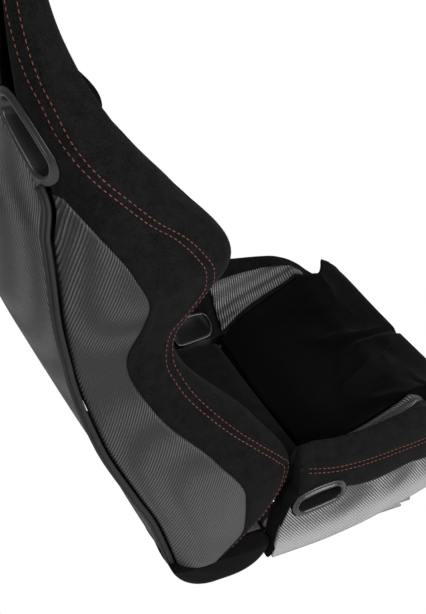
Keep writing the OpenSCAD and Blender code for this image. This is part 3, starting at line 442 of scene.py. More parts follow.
# ---- materials
class Nodes:
    """A material's node tree, with one call for each node."""

    def __init__(self, name):
        self.material = bpy.data.materials.new(name)
        self.material.use_nodes = True
        self.tree = self.material.node_tree
        self.shader = self.tree.nodes["Principled BSDF"]
        self.place = self.add("ShaderNodeTexCoord").outputs["Object"]

    def add(self, kind, **values):
        node = self.tree.nodes.new(kind)
        for key, value in values.items():
            setattr(node, key, value)
        return node

    def link(self, a, b):
        self.tree.links.new(a, b)

    def turned(self, angles, scale=(1, 1, 1)):
        node = self.add("ShaderNodeMapping")
        node.inputs["Rotation"].default_value = [radians(a) for a in angles]
        node.inputs["Scale"].default_value = scale
        self.link(self.place, node.inputs["Vector"])
        return node.outputs["Vector"]

    def noise(self, scale, detail=4, vector=None, rough=0.6):
        node = self.add("ShaderNodeTexNoise")
        node.inputs["Scale"].default_value = scale
        node.inputs["Detail"].default_value = detail
        node.inputs["Roughness"].default_value = rough
        self.link(vector or self.place, node.inputs["Vector"])
        return node.outputs["Fac"]

    def wave(self, scale, vector, distortion=0.0, direction="X", detail=1, detail_scale=1):
        node = self.add("ShaderNodeTexWave", bands_direction=direction)
        node.inputs["Scale"].default_value = scale
        node.inputs["Distortion"].default_value = distortion
        node.inputs["Detail"].default_value = detail
        node.inputs["Detail Scale"].default_value = detail_scale
        self.link(vector, node.inputs["Vector"])
        return node.outputs["Fac"]

    def math(self, operation, a, b=None):
        node = self.add("ShaderNodeMath", operation=operation)
        for socket, value in zip(node.inputs, (a, b)):
            if value is None:
                continue
            if isinstance(value, (int, float)):
                socket.default_value = value
            else:
                self.link(value, socket)
        return node.outputs[0]

    def ramp(self, fac, stops):
        """A colour between stops. A colour of two numbers is a grey and its blue."""
        node = self.add("ShaderNodeValToRGB")
        ramp = node.color_ramp
        while len(ramp.elements) < len(stops):
            ramp.elements.new(0.5)
        for element, (position, colour) in zip(ramp.elements, stops):
            element.position = position
            if len(colour) == 2:
                colour = (colour[0], *colour)
            element.color = (*colour, 1)
        self.link(fac, node.inputs["Fac"])
        return node.outputs["Color"]

    def grey(self, fac, low, high):
        """A number between low and high, from fac between 0 and 1."""
        node = self.add("ShaderNodeMapRange")
        node.inputs["To Min"].default_value = low
        node.inputs["To Max"].default_value = high
        self.link(fac, node.inputs["Value"])
        return node.outputs["Result"]

    def lowness(self, high, low):
        """A number that goes from 0 at the height high to 1 at the height low."""
        place = self.add("ShaderNodeSeparateXYZ")
        self.link(self.place, place.inputs[0])
        share = self.add("ShaderNodeMapRange", interpolation_type="SMOOTHSTEP")
        share.inputs["From Min"].default_value, share.inputs["From Max"].default_value = high, low
        self.link(place.outputs["Z"], share.inputs["Value"])
        return share.outputs["Result"]

    def bump(self, height, distance, strength=1.0, normal=None):
        node = self.add("ShaderNodeBump")
        node.inputs["Distance"].default_value = distance
        node.inputs["Strength"].default_value = strength
        self.link(height, node.inputs["Height"])
        if normal:
            self.link(normal, node.inputs["Normal"])
        return node.outputs["Normal"]

    def set(self, **values):
        for key, value in values.items():
            socket = self.shader.inputs[key.replace("_", " ")]
            if hasattr(value, "links") or hasattr(value, "is_output"):
                self.link(value, socket)
            else:
                socket.default_value = value
        return self


def bands(pitch):
    """Scale of a wave texture whose bands lie pitch metres apart."""
    return 2 * pi / pitch / 20


def suede(name, low, high, sheen):
    """Napped cloth, with the nap's cloudy tone."""
    n = Nodes(name)
    fine = n.noise(560, 5, rough=0.8)
    nap = n.noise(60, 5, rough=0.7)
    mixed = n.math("ADD", n.math("MULTIPLY", fine, 0.75), n.math("MULTIPLY", nap, 0.35))
    n.set(Base_Color=n.ramp(mixed, [(0.44, low), (0.66, high)]), Roughness=n.grey(nap, 0.82, 0.98),
          Sheen_Weight=sheen, Sheen_Roughness=0.4, Sheen_Tint=(0.62, 0.62, 0.66, 1), Specular_IOR_Level=0.08)
    n.set(Normal=n.bump(fine, 0.0006, 0.55, n.bump(n.noise(22, 4), 0.004, 0.25)))
    return n.material


def ribbed(name, low, mid, high, angles, pitch=0.0042, sway=0.6, painted_floor_bounce=None):
    """Vinyl pressed with fine slanting ribs that look woven. The last argument: two heights, between which
    painted light makes it paler towards the bottom, standing in for light bounced up from the floor, and by
    how much."""
    n = Nodes(name)
    along = n.turned(angles)
    ribs = n.wave(bands(pitch), along, sway, "X", detail=2, detail_scale=9)
    weave = n.wave(bands(pitch * 4.2), along, 1.2, "Y", detail=1, detail_scale=14)
    broken = n.math("MULTIPLY", ribs, n.grey(weave, 0.45, 1.0))
    cloud = n.noise(26, 5, rough=0.65)
    tone = n.math("ADD", n.math("MULTIPLY", broken, 0.85), n.math("MULTIPLY", cloud, 0.25))
    if painted_floor_bounce:
        # Painted light: paler towards the bottom, standing in for light bounced up from the floor.
        tone = n.math("ADD", tone, n.math("MULTIPLY", n.lowness(*painted_floor_bounce[:2]), painted_floor_bounce[2]))
    n.set(Base_Color=n.ramp(tone, [(0.12, low), (0.5, mid), (0.95, high)]),
          Roughness=n.grey(broken, 0.56, 0.36), Specular_IOR_Level=0.5)
    n.set(Normal=n.bump(broken, 0.0012, 0.75, n.bump(n.noise(900, 2), 0.0002, 0.25)))
    return n.material


def woven(name, low, high, pitch=0.0016):
    """Plain weave, seen on the slant."""
    n = Nodes(name)
    along = n.turned((8, 0, 45))
    warp = n.wave(bands(pitch), along, 0.3, "X")
    weft = n.wave(bands(pitch), along, 0.3, "Y")
    cloth = n.math("MULTIPLY", warp, weft)
    tone = n.math("ADD", n.math("MULTIPLY", cloth, 0.6), n.math("MULTIPLY", n.noise(40, 4), 0.4))
    n.set(Base_Color=n.ramp(tone, [(0.15, low), (0.9, high)]),
          Roughness=0.94, Sheen_Weight=0.03, Sheen_Roughness=0.5, Specular_IOR_Level=0.05)
    n.set(Normal=n.bump(cloth, 0.0004, 0.5, n.bump(n.noise(18, 4), 0.003, 0.3)))
    return n.material


def moulded(name, low, high, rough, grain=700, depth=0.0002, coat=0.0):
    """Plastic or rubber with a fine grain."""
    n = Nodes(name)
    pits = n.noise(grain, 3)
    scuff = n.noise(14, 6, rough=0.7)
    n.set(Base_Color=n.ramp(scuff, [(0.3, low), (0.75, high)]),
          Roughness=n.grey(scuff, rough - 0.07, rough + 0.12),
          Coat_Weight=coat, Coat_Roughness=0.12, Specular_IOR_Level=0.5)
    n.set(Normal=n.bump(pits, depth, 0.5))
    return n.material


def painted(name, low, high, rough):
    """Paint over steel, worn thin along its sharp edges."""
    n = Nodes(name)
    shape = n.add("ShaderNodeNewGeometry").outputs["Pointiness"]
    worn = n.math("MULTIPLY", n.ramp(shape, [(0.52, (0, 0, 0)), (0.6, (1, 1, 1))]), n.noise(90, 5))
    peel = n.noise(320, 3)
    colour = n.add("ShaderNodeMix", data_type="RGBA")
    n.link(worn, colour.inputs["Factor"])
    n.link(n.ramp(n.noise(16, 5), [(0.35, low), (0.7, high)]), colour.inputs["A"])
    colour.inputs["B"].default_value = (0.16, 0.16, 0.17, 1)
    n.set(Base_Color=colour.outputs["Result"], Roughness=n.grey(n.noise(30, 5), rough - 0.08, rough + 0.12),
          Metallic=0.0, Coat_Weight=0.25, Coat_Roughness=0.25)
    n.set(Normal=n.bump(peel, 0.0002, 0.35))
    return n.material


def plated(name, low, high, rough, angles=(0, 0, 90)):
    """Zinc-plated steel, faintly drawn along its length."""
    n = Nodes(name)
    drawn = n.noise(30, 4, n.turned(angles, (60, 2, 60)))
    bloom = n.noise(35, 6, rough=0.75)
    n.set(Base_Color=n.ramp(bloom, [(0.3, low), (0.72, high)]), Metallic=1.0,
          Roughness=n.grey(n.math("ADD", n.math("MULTIPLY", drawn, 0.5), n.math("MULTIPLY", bloom, 0.5)),
                           rough - 0.1, rough + 0.14))
    n.set(Normal=n.bump(drawn, 0.0002, 0.35))
    return n.material


def thread(name, low, high):
    """Twisted sewing thread."""
    n = Nodes(name)
    ply = n.wave(bands(0.0011), n.turned((30, 20, 40)), 0.5)
    tone = n.math("ADD", n.math("MULTIPLY", ply, 0.6), n.math("MULTIPLY", n.noise(300, 2), 0.4))
    n.set(Base_Color=n.ramp(tone, [(0.2, low), (0.85, high)]),
          Roughness=0.6, Sheen_Weight=0.2, Sheen_Roughness=0.4)
    n.set(Normal=n.bump(ply, 0.0002, 0.6))
    return n.material


SUEDE = suede("suede", (0.0006, 0.0007), (0.009, 0.0095), 0.05)
REAR_SUEDE = suede("rear_suede", (0.002, 0.0021), (0.01, 0.0105), 0.05)
# Painted light: these four are one carbon-look vinyl in lit and shaded copies. Each is given darker or
# brighter colours by how much light falls there: darkest on the backrest's sides, brighter on the back panel
# and the inlay, and brightest on the base side.
SIDE_VINYL = ribbed("side_vinyl", (0.003, 0.0031), (0.011, 0.0113), (0.07, 0.072),
                    # The last tuple paints light: paler towards the bottom, standing in for light bounced up
                    # from the floor.
                    (-20, 0, 90), 0.0034, 0.6, (0.4, 0.14, 0.4))
BACK_VINYL = ribbed("back_vinyl", (0.006, 0.0062), (0.04, 0.041), (0.15, 0.153),
                    (0, -22, 0), 0.0036)
INLAY_VINYL = ribbed("inlay_vinyl", (0.01, 0.0105), (0.055, 0.057), (0.26, 0.265),
                     (-12, 0, 90), 0.0034)
BASE_VINYL = ribbed("base_vinyl", (0.02, 0.021), (0.085, 0.087), (0.36, 0.365),
                    # The last tuple paints light: paler towards the bottom, standing in for light bounced up
                    # from the floor.
                    (35, 0, 90), 0.0034, 0.35, (0.14, 0.08, 0.8))
INSERT = woven("insert_cloth", (0.0006, 0.0007), (0.0028, 0.003))
BOOT = woven("boot_cloth", (0.003, 0.0033), (0.01, 0.011), 0.0022)
PIPING = moulded("piping", (0.002, 0.0022), (0.004, 0.0043), 0.62, 1200, 0.0001)
BEZEL = moulded("bezel", (0.007, 0.0075), (0.014, 0.0145), 0.3, 900, 0.0001, 0.2)
FRAME = painted("frame_paint", (0.01, 0.011), (0.022, 0.023), 0.42)
RAIL = plated("rail_zinc", (0.3, 0.31, 0.33), (0.48, 0.49, 0.51), 0.42, (90, 0, 0))
ZINC = plated("plate_zinc", (0.42, 0.43, 0.45), (0.62, 0.63, 0.64), 0.36)
WIRE = plated("wire", (0.34, 0.35, 0.36), (0.5, 0.51, 0.52), 0.4)
TRAY = moulded("tray_plastic", (0.01, 0.011), (0.022, 0.023), 0.55, 500)
LEVER = moulded("lever_plastic", (0.012, 0.013), (0.026, 0.027), 0.42, 600)
GRIP = moulded("grip_rubber", (0.008, 0.0085), (0.016, 0.0165), 0.72, 450, 0.0004)
RED = thread("red_thread", (0.1, 0.014, 0.009), (0.3, 0.052, 0.032))


# ---- backrest covers
def dip(distance, depth, width):
    """How deep a seam pulls the cover in, at that distance from it."""
    return depth * exp(-(distance / width) ** 2)


# The sewn line down the side of the bolster, as height and depth, and half the distance of its two rows
TOPSTITCH = [[100, 165], [163, 102], [200, 83], [230, 77], [248, 90], [278, 120], [308, 151],
             [339, 179], [375, 207], [399, 220], [428, 230], [470, 227], [505, 206], [540, 191],
             [565, 194], [587, 206], [616, 230], [641, 260], [673, 292], [699, 317], [720, 333],
             [741, 344], [764, 351], [793, 360], [823, 365], [870, 369], [937, 362]]
ROW_HALF = [[100, 4], [240, 4.5], [440, 5.5], [720, 5], [937, 4.5]]


def stitch_y(z):
    return max(at(TOPSTITCH, z), yf(z) + 7)


def bolster_row(z):
    """Ring of the side bolster: back, outer side under the vinyl, suede, rounded edge, inner face."""
    skin = min(1, max(0, (SIDE_END + 6 - z) / 8)) * (SKIN + SKIN_GAP)
    y0, y1, y2, b = yr(z) - 10, ys(z), yf(z), yb(z)
    f = min(y2 + 0.3 * (yr(z) - y2), yc(z) - 2)
    row = [(xi(z), b), (mix(xi(z), xr(z) - 14, 0.5), b), (min(xr(z) - 14, xs(y0, z) - 12), b)]
    seam = stitch_y(z)
    for y in linspace(y0, y1, 14):
        row.append((xs(y, z) - max(skin, 0.5) - (dip(y - seam, 1.2, 2.5) if skin == 0 else 0), y))
    for k in np.sin(np.radians(linspace(0, 90, 44))):
        y = mix(y1 - 0.4, y2, k)
        sink = dip(y - y1, 1.8, 5) + dip(y - seam, 1.5, 2.2)
        row.append((xs(y, z) - sink, y))
    for a in np.radians(linspace(6, 90, 16)):
        row.append((mix(xs(y2, z), xw(z), sin(a) ** 0.9), mix(y2, f, 1 - cos(a))))
    for u in linspace(0.12, 1, 9):
        row.append((mix(xw(z), xi(z), 0.05 * u), mix(f, yc(z), u)))
    row += [(mix(xw(z), xi(z), 0.5), yc(z) + 3), (xi(z), yc(z)), (xi(z), mix(yc(z), b, 0.5))]
    return [(x, y, z) for x, y in row]


def back_levels(low, high, step):
    """Heights from low to high, closer together at both ends."""
    foot = [low, low + 1.5, low + 4, low + 8]
    head = [high - 14, high - 8, high - 4, high - 1.5, high]
    return foot + list(arange(low + 8 + step, high - 14, step)) + head


def build_bolster():
    rows = [bolster_row(z) for z in back_levels(WING_Z, TOP_Z, 6)]
    for k, inset in ((0, 5), (1, 2.6), (2, 1)):       # the cover turns under at both ends
        for end in (k, len(rows) - 1 - k):
            row = np.array(rows[end])
            centre = row[:, :2].mean(0)
            away = row[:, :2] - centre
            row[:, :2] -= away / np.linalg.norm(away, axis=1, keepdims=True) * inset * 0.5
            rows[end] = [tuple(p) for p in row]

    def held(x, y, z):
        inner = x < xw(z) - 4 or y > ys(z) - 4 or z < WING_Z + 12 or z > TOP_Z - 16
        return inner or abs(y - stitch_y(z)) < 2.5

    return cut(stuffed(grid("bolster_cover_l", rows), 1.2, 2.2, held), harness_tool(3))


def build_side_cover():
    rows = []
    for z in back_levels(WING_Z + 1, SIDE_END, 6):
        y0, y1 = yr(z) - 9, ys(z)
        outer = []
        for k in linspace(0, 1, 34):
            y = mix(y0, y1, k)
            puff = 0.8 * sin(pi * k) ** 0.5
            outer.append((xs(y, z) + puff - dip(y - y1, 2.2, 2.4) - dip(y - y0, 2.0, 2.4), y, z))
        inner = [(x - SKIN, y, z) for x, y, z in outer[::-4]]
        rows.append(outer + inner)
    return cut(grid("side_cover_l", rows), harness_tool(13))


PANEL_TOP, PANEL_SLOT = HEAD_Z + 22, 12.4


def panel_half(z):
    """Half width of the back panel, rounded off at its top."""
    return xr(z) - 3.4 - line([[HEAD_Z, 0], [HEAD_Z + 10, 9], [HEAD_Z + 16, 9], [PANEL_TOP, 22]], z)


def build_back_cover():
    rows = []
    for z in back_levels(WING_Z + 4, PANEL_TOP, 8):
        w, b = panel_half(z), at(BULGE, z)
        outer = []
        for u in np.sin(linspace(-pi / 2, pi / 2, 61)):
            edge = (1 - abs(u)) * w
            outer.append((u * w, yr(z) + b * (1 - u * u) + 0.8 - dip(edge, 2.6, 3.5), z))
        inner = [(x, y - 3, z) for x, y, z in outer[::-3]]
        rows.append(outer + inner)
    tool = harness_tool(PANEL_SLOT)
    other = mirrored(tool, "tool_r")
    return cut(cut(grid("back_cover", rows), tool), other)


def tube(name, path, radius, sides=12):
    """A round tube along a path of points, in mm."""
    path = np.array(path, float)
    along = np.gradient(path, axis=0)
    along /= np.linalg.norm(along, axis=1, keepdims=True)
    across = np.cross(along[0], (0.31, 0.87, 0.38))
    rows = []
    for p, t in zip(path, along):
        across = across - t * (across @ t)
        across /= np.linalg.norm(across)
        third = np.cross(t, across)
        rows.append([tuple(p + radius * (cos(a) * across + sin(a) * third))
                     for a in linspace(0, 2 * pi, sides, endpoint=False)])
    return grid(name, rows)


def joined(name, parts):
    """One object from several."""
    bm = bmesh.new()
    for obj in parts:
        bm.from_mesh(obj.data)
        bpy.data.objects.remove(obj)
    mesh = bpy.data.meshes.new(name)
    bm.to_mesh(mesh)
    bm.free()
    mesh.shade_smooth()
    return linked(name, mesh)


def encloses(outline, point):
    """Whether a point lies inside a closed outline."""
    x, y = point
    hits = 0
    for (x0, y0), (x1, y1) in zip(outline, outline[1:] + outline[:1]):
        if (y0 > y) != (y1 > y) and x < x0 + (y - y0) / (y1 - y0) * (x1 - x0):
            hits += 1
    return hits % 2 == 1


# Cords of the piping: how far out of and before the rear edge they lie, how far apart, and their radius
CORD_OUT, CORD_FORE, CORD_APART, CORD_R = 1.6, 1.2, 2.9, 3.1


def build_piping():
    """Double cord between back panel and side, broken where the harness bezel crosses it."""
    rim_edge = harness_outline(HARNESS_RIM - 0.5)
    levels = list(arange(WING_Z + 2, HEAD_Z + 9, 4.0))
    clear = [not encloses(rim_edge, (xr(z) + CORD_OUT, z)) for z in levels]
    bezel_from, bezel_to = clear.index(False), len(clear) - 1 - clear[::-1].index(False)
    cords = []
    for run in (levels[:bezel_from], levels[bezel_to + 1:]):
        centre = np.array([(xr(z) + CORD_OUT, yr(z) - CORD_FORE, z) for z in run])
        along = np.gradient(centre, axis=0)
        along /= np.linalg.norm(along, axis=1, keepdims=True)
        out = np.tile((0.72, 0.69, 0.0), (len(run), 1))
        side = np.cross(along, out)
        side /= np.linalg.norm(side, axis=1, keepdims=True)
        cords += [tube("cord", centre + side * s * CORD_APART, CORD_R) for s in (-1, 1)]
        cords.append(tube("cord", centre - out * 1.2, 3.0, 8))
    return joined("piping_cord_l", cords)


def rim(outline, face, profile):
    """Closed band: each (g, h) of profile is the outline grown by g, lifted h off face(a, b)."""
    return [[face(a, b, h) for a, b in outline(g)] for g, h in profile]


def bezel_profile(width, high, bed=1.2):
    """Rounded rim, from its outer foot over the top and into the hole."""
    steps = [(width, 0.3), (width, bed)]
    steps += [(width * (1 - 0.52 * sin(a)), bed + (high - bed) * (1 - cos(a)) * 0.9)
              for a in np.radians((25, 45, 65, 90))]
    steps += [(width * 0.36, high), (width * 0.2, high - 0.3), (width * 0.07, high - 1.4), (0, high - 3.4)]
    return steps


def belt_bezel(name, outline, out, inner, width, near, far):
    """Ring of a belt slot, from the outer rim to a mouth that stands near to far off the inner face."""
    rows = rim(outline, out, bezel_profile(width, 4))
    rows += rim(outline, inner, [(0, far), (0, near), (2.5, near), (2.5, far)])
    rows += rim(outline, out, [(2.5, -6), (2.5, 0.3)])
    return grid(name, rows, band=True)


def build_harness_bezel():
    def rear(x, z, h):
        return (x, y_side(x, z) + h, z)

    def front(x, z, h):
        return (x, yc(z) + h, z)

    return belt_bezel("bezel_ring_l", harness_outline, rear, front, HARNESS_RIM, 0.4, 3)


# ---- cushions
PAD_LOW, PAD_HIGH, HEAD_SEAM = WING_Z + 32, NECK_Z + 28, 68
CHANNELS = [HIP_Z + 40, HIP_Z + 110, WAIST_Z - 40, WAIST_Z + 30, WAIST_Z + 100, CHEST_Z + 30]


def pad_half(z):
    """Half width of the back cushion."""
    return line([[GATE_Z - 13, PLATE_X - 3], [GATE_Z - 1, PAD_X], [NECK_Z, PAD_X],
                 [NECK_Z + 30, HEAD_X]], z)


def build_back_pad():
    """Centre cushion of the backrest, quilted across."""
    rows = []
    for z in list(arange(PAD_LOW, PAD_HIGH, 5)) + [PAD_HIGH]:
        w, y = pad_half(z) - 0.6, yc(z)
        near_end = min(z - PAD_LOW, PAD_HIGH - z)
        seam = sum(dip(z - c, 7, 5) for c in CHANNELS)
        row = []
        for u in linspace(1, -1, 49):
            roll = (12 * (1 - abs(u) ** 6) * min(1, (0.25 + near_end / 16)) - 6
                    - min(seam, 8) * (1 - abs(u) ** 8))
            row.append((u * w, y - roll, z))
        half_way = mix(y, yb(z), 0.5)
        rear = [(u * w, yb(z) - 1, z) for u in (-1, -0.5, 0, 0.5, 1)]
        row += [(-w, half_way, z), *rear, (w, half_way, z)]
        rows.append(row)

    def held(x, y, z):
        return y > yc(z) + 8 or any(abs(z - c) < 3.5 for c in CHANNELS) or abs(x) > pad_half(z) - 4

    return stuffed(grid("back_pad", rows), 3.5, 5, held)


def build_head_pad():
    """Head cushion, sewn across once."""
    low = NECK_Z + 32
    rows = []
    for z in list(arange(low, TOP_Z - 30, 5)) + list(arange(TOP_Z - 30, TOP_Z - 2.5, 2.5)):
        w, y = HEAD_X - 0.6 - 0.5 * tuck(z), yc(z)
        near_end = min(z - low, 40)
        seam = dip(z - SLOT_Z - HEAD_SEAM, 7, 6)
        row = []
        for u in linspace(1, -1, 33):
            roll = (12 * (1 - abs(u) ** 5) * min(1, 0.3 + near_end / 16) - 5 - seam * (1 - abs(u) ** 8)
                    - 0.2 * tuck(z))
            row.append((u * w, y - roll, z))
        row += [(-w, yb(z), z), (0, yb(z), z), (w, yb(z), z)]
        rows.append(row)

    def held(x, y, z):
        return y > yc(z) + 7 or abs(z - SLOT_Z - HEAD_SEAM) < 3.5 or abs(x) > HEAD_X - 4

    return stuffed(grid("head_pad", rows), 3, 4, held)


def insert_side(y, w, zt):
    """Side of the insert, from its edge down to the suspension mat."""
    low, lip = mat_z(y) + 4, min(top_z(y) + 2, zt - 10)
    foot = min(insert_x(y), w - 2)
    over = [(w - 1, lip), (foot, lip - 0.5)]
    edge = min(lip, zt - 6)
    near = [(foot - 0.2, edge), (foot - 0.5, mix(low, edge, 0.5))]
    blend = behind_lobe(y)
    return [(mix(a, c, blend), mix(b, d, blend)) for (a, b), (c, d) in zip(over, near)] + [(foot - 1, low)]


def build_seat_insert():
    """Base cushion: two front lobes parted by a crease, falling to the back."""
    rows, end = [], INSERT_END
    stations = [-257.5, -256, -253.5, -250] + list(arange(-246, LOBE_EDGE - 8, 4))
    stations += list(arange(LOBE_EDGE - 8, LOBE_EDGE + 9, 2.4))
    stations += list(arange(LOBE_EDGE + 12, end - 4, 5))
    stations += [end - 3, end - 1.2, end]
    wide = BASE_HALF - 44
    for y in stations:
        zt = seat_top(y) - (4 if y > end - 1 else 0)
        w = mix(wide - 34 * max(0, (-BASE_FRONT + 45 - y) / 47) ** 2, insert_x(y), behind_lobe(y))
        crease = min(1, max(0, (-130 - y) / 26)) ** 0.6
        row = []
        for u in linspace(1, -1, 81):
            z = zt - line(SEAT_DIP, y) * (1 - u * u) ** 1.3 - 4 * abs(u) ** 10
            z -= 10 * crease * exp(-(u * w / 5.5) ** 2)
            row.append((u * w, y, z))
        side = insert_side(y, w, zt)
        row += [(-x, y, z) for x, z in side] + [(0, y, side[-1][1])]
        row += [(x, y, z) for x, z in side[::-1]]
        rows.append(row)

    def held(x, y, z):
        return z < seat_top(y) - 46 or (abs(x) < 3 and -235 < y < -138)

    return stuffed(grid("seat_insert", rows), 3, 7, held)


def build_seat_rear():
    """Low cushion behind the insert, under the hips."""
    rows = []
    w, start, end = INSERT_HALF - 1, INSERT_END + 0.8, PIVOT_Y - ARC_R - 2
    for y in linspace(start, end, 26):
        zt = CUSHION_Z + line([[start, 5], [0, 9], [45, 10], [65, 12], [76, 11], [end, 2]], y)
        row = [(u * w, y, zt - 4 * (1 - u * u) - 3 * abs(u) ** 8) for u in linspace(1, -1, 61)]
        row += [(x, y, mat_z(y) + h) for x, h in ((-w, 12), (-w, 4), (0, 4), (w, 4), (w, 12))]
        rows.append(row)

    def held(_, y, z):
        return z < CUSHION_Z - 2 or y < start + 3 or y > end - 2

    return stuffed(grid("seat_rear", rows), 2.5, 4, held)


# ---- base covers
def base_levels(low, high, step):
    """Depths from low to high, closer together at both ends."""
    inside = list(arange(low + 4 + step, high - 4, step))
    return [low, low + 1.5, low + 4] + inside + [high - 4, high - 1.5, high]


# How far the stuffing lifts the crest of the cover, by depth
CROWN = [[-190, 0], [-150, 2], [-100, 4], [40, 5], [60, 0]]


def base_row(y):
    """Ring of the base bolster at depth y."""
    front = y <= BASE_BACK
    zt, low = top_z(y), SHELF_Z if front else BASE_Z + 2
    crest = crest_x(y) if front else WING_X + 14
    x_out = base_x(y, zt - 12)
    zs = max(BASE_Z + 1, min(hem_z(y), zt - 8))
    skirt = min(WING_X + 1, base_x(y, BASE_Z) - SKIN - 5.9)
    row = [(skirt, BASE_Z)]
    row += [(base_x(y, z) - SKIN - SKIN_GAP, z) for z in linspace(BASE_Z, zs, 10)]
    shoulder = zt - min(26, (zt - zs) / 2)
    seam = base_stitch_z(y)
    for z in linspace(zs + 0.6, shoulder, 22):
        out = base_x(y, z)
        row.append((out - dip(z - zs, 1.6, 4) - dip(z - seam, 1.3, 2), z))
    crown = zt + line(CROWN, y)
    for a in np.radians(linspace(5, 90, 18)):
        row.append((mix(crest, x_out, cos(a)), mix(shoulder, crown, sin(a))))
    sill = sill_z(y) if front else mix(low, zt, 0.3)
    for u in (0.94, 0.86, 0.74, 0.62, 0.48, 0.36, 0.23, 0.12, 0):
        z = mix(sill, zt, u)
        x = in_x(y, z) if front else mix(WING_X, crest, u**3)
        row.append((x, mix(z, crown, max(0, u - 0.5))))
    row += [(at(INNER, y) if front else WING_X, low), (skirt - 0.3, low - 1)]
    return [(x, y, z) for x, z in row]


# The sewn line along the base bolster, as depth and height, and half the distance of its two rows
BASE_STITCH = [[-250, 158], [-200, 178], [-156, 184], [-106, 191], [-60, 197], [-2, 206], [53, 222],
               [62, 225]]
BASE_ROW_HALF = 3.6


def base_stitch_z(y):
    zs = max(BASE_Z + 1, min(hem_z(y), top_z(y) - 8))
    return min(max(at(BASE_STITCH, y), zs + 8), top_z(y) - 8)


def build_base_cover():
    depths = [-256, -255, -253, -250] + list(arange(-246, 58, 5))
    depths += [62, 63, 67, 71, 74, 78, 82, 86, 89, 91] + list(linspace(94, ARC_END - 1, 6))
    rows = [base_row(y) for y in depths]

    def held(x, y, z):
        quiet = z < hem_z(y) + 3 or y > 55 or y < -248 or abs(z - base_stitch_z(y)) < 2.5
        return quiet or (y <= BASE_BACK and x < in_x(y, z) + 5)

    return cut(stuffed(grid("base_cover_l", rows), 1.2, 2.5, held), lap_tool(3))


def build_base_side():
    rows = []
    for y in base_levels(-BASE_FRONT + 1, ARC_END - 8, 6):
        zh = min(hem_z(y), top_z(y) - 8)
        outer = [(base_x(y, z) + 0.5 - dip(z - zh, 2.2, 2.6), y, z) for z in linspace(BASE_Z, zh, 22)]
        inner = [(x - SKIN, y, z) for x, y, z in outer[::-3]]
        rows.append(outer + inner)
    return cut(grid("base_side_l", rows), lap_tool(11))


def build_lap_bezel():
    def out(y, z, h):
        return (base_x(y, z) + h, y, z)

    def inner(y, z, h):
        return (in_x(min(y, BASE_BACK), z) - 2.5 + h, y, z)

    return belt_bezel("lap_ring_l", lap_outline, out, inner, LAP_RIM, 0, 4)


# Inlay by depth: share of the bolster's height that it covers, and the gap under it
INLAY_FRONT, INLAY_REAR, INLAY_T, INLAY_WIDE = -168, -18, 2.4, 22
INLAY_TOP = [[INLAY_FRONT, 0.2], [-140, 0.55], [-110, 0.66], [INLAY_REAR, 0.7]]
INLAY_GAP = [[INLAY_FRONT, 2.2], [-140, 1.6], [-96, 0.95]]


def build_inlay():
    """Vinyl on the inner face of the base bolster, in front of the lap belt slot."""
    rows, shares = [], linspace(0, 1, 22)
    for y in linspace(INLAY_FRONT, INLAY_REAR, 36):
        low, high = sill_z(y), mix(sill_z(y), top_z(y), line(INLAY_TOP, y))
        face = np.array([(in_x(y, z), z) for z in linspace(low, high, len(shares))])
        along = np.gradient(face, axis=0)
        out = np.stack([-along[:, 1], along[:, 0]], 1) / np.linalg.norm(along, axis=1, keepdims=True)
        gap = line(INLAY_GAP, y)
        hem = [dip(INLAY_WIDE * (1 - k), 1.6, 1.5) + dip(INLAY_WIDE * k, 1.2, 1.5) for k in shares]
        lift = gap + INLAY_T - np.array(hem)
        row = [(x, y, z) for x, z in face + out * lift[:, None]]
        row += [(x, y, z) for x, z in (face + out * gap)[::-4]]
        rows.append(row)
    return grid("base_inlay_l", rows)


BOOT_END, CAP_END = 347, 344


def round_pivot(angle, r):
    return PIVOT_Y + r * cos(radians(angle)), PIVOT_Z + r * sin(radians(angle))


def boot_point(angle, inset):
    """Angle in degrees round the pivot, and how far inside the boot's outer face."""
    late = sin(radians(max(0, angle - 270) * 9 / 8))
    return round_pivot(angle, BOOT_R - inset - 18 * late**2)


def build_boot():
    """Gathered cloth round the pivot, between the base and the back."""
    half = PLATE_X - 4
    first = 180 - degrees(asin((WING_Z + 31.7 - PIVOT_Z) / BOOT_R))
    rows = []
    for a in linspace(first, BOOT_END, 90):
        outer = []
        for x in linspace(half, -half, 120):
            fold = 0.5 + 0.5 * sin(x / 6.5 + 1.3 * sin(x / 41) + 0.5 * sin(a / 19))
            hem = min(1, (a - first) / 14, (BOOT_END - a) / 14, (half - abs(x)) / 8 + 0.2)
            y, z = boot_point(a, 1.6 * fold * hem + 0.2)
            outer.append((x, y, z))
        inner = [(x, *boot_point(a, 4.2)) for x in linspace(-half, half, 24)]
        rows.append(outer + inner)
    return grid("boot_cover", rows)


def cap_point(angle, inset):
    """The same for an end cap, which is drawn in further, from the underside on."""
    drawn = sin(radians(min(90, max(0, angle - 195) * 1.2)))
    return round_pivot(angle, BOOT_R - inset - 22 * drawn**2 + max(0, angle - 270) / 19)


def build_boot_cap():
    """Rounded end of the boot, outside the side plate."""
    top, x0, x1, r = WING_Z - 0.4, WING_X + 1, HIP_HALF - 10, 12
    first = 180 + degrees(asin((PIVOT_Z - top) / BOOT_R))
    rounded = [(x1 - r * (1 - sin(t)), r * (1 - cos(t))) for t in np.radians(linspace(0, 90, 10))]
    rows = []
    for x, inset in [(x0, 0)] + rounded:
        ring = [cap_point(a, inset) for a in linspace(first, CAP_END, 60)]
        ring = [(x, y, min(top, z)) for y, z in ring]
        (_, y0, z0), (_, y1, z1) = ring[-1], ring[0]
        rows.append(ring + [(x, mix(y0, y1, u), mix(z0, z1, u)) for u in (0.3, 0.6, 0.9)])
    return grid("boot_end_l", rows)


# Depths of the apron's section, with how far its edge is drawn in, and the notch over the slide handle
APRON = ((-254, 2.5), (-253.4, 1.2), (-252.4, 0.4), (-251, 0), (-247, 0), (-244.5, 0.5), (-244, 1.5))
NOTCH_R, NOTCH_DROP = 60, 26


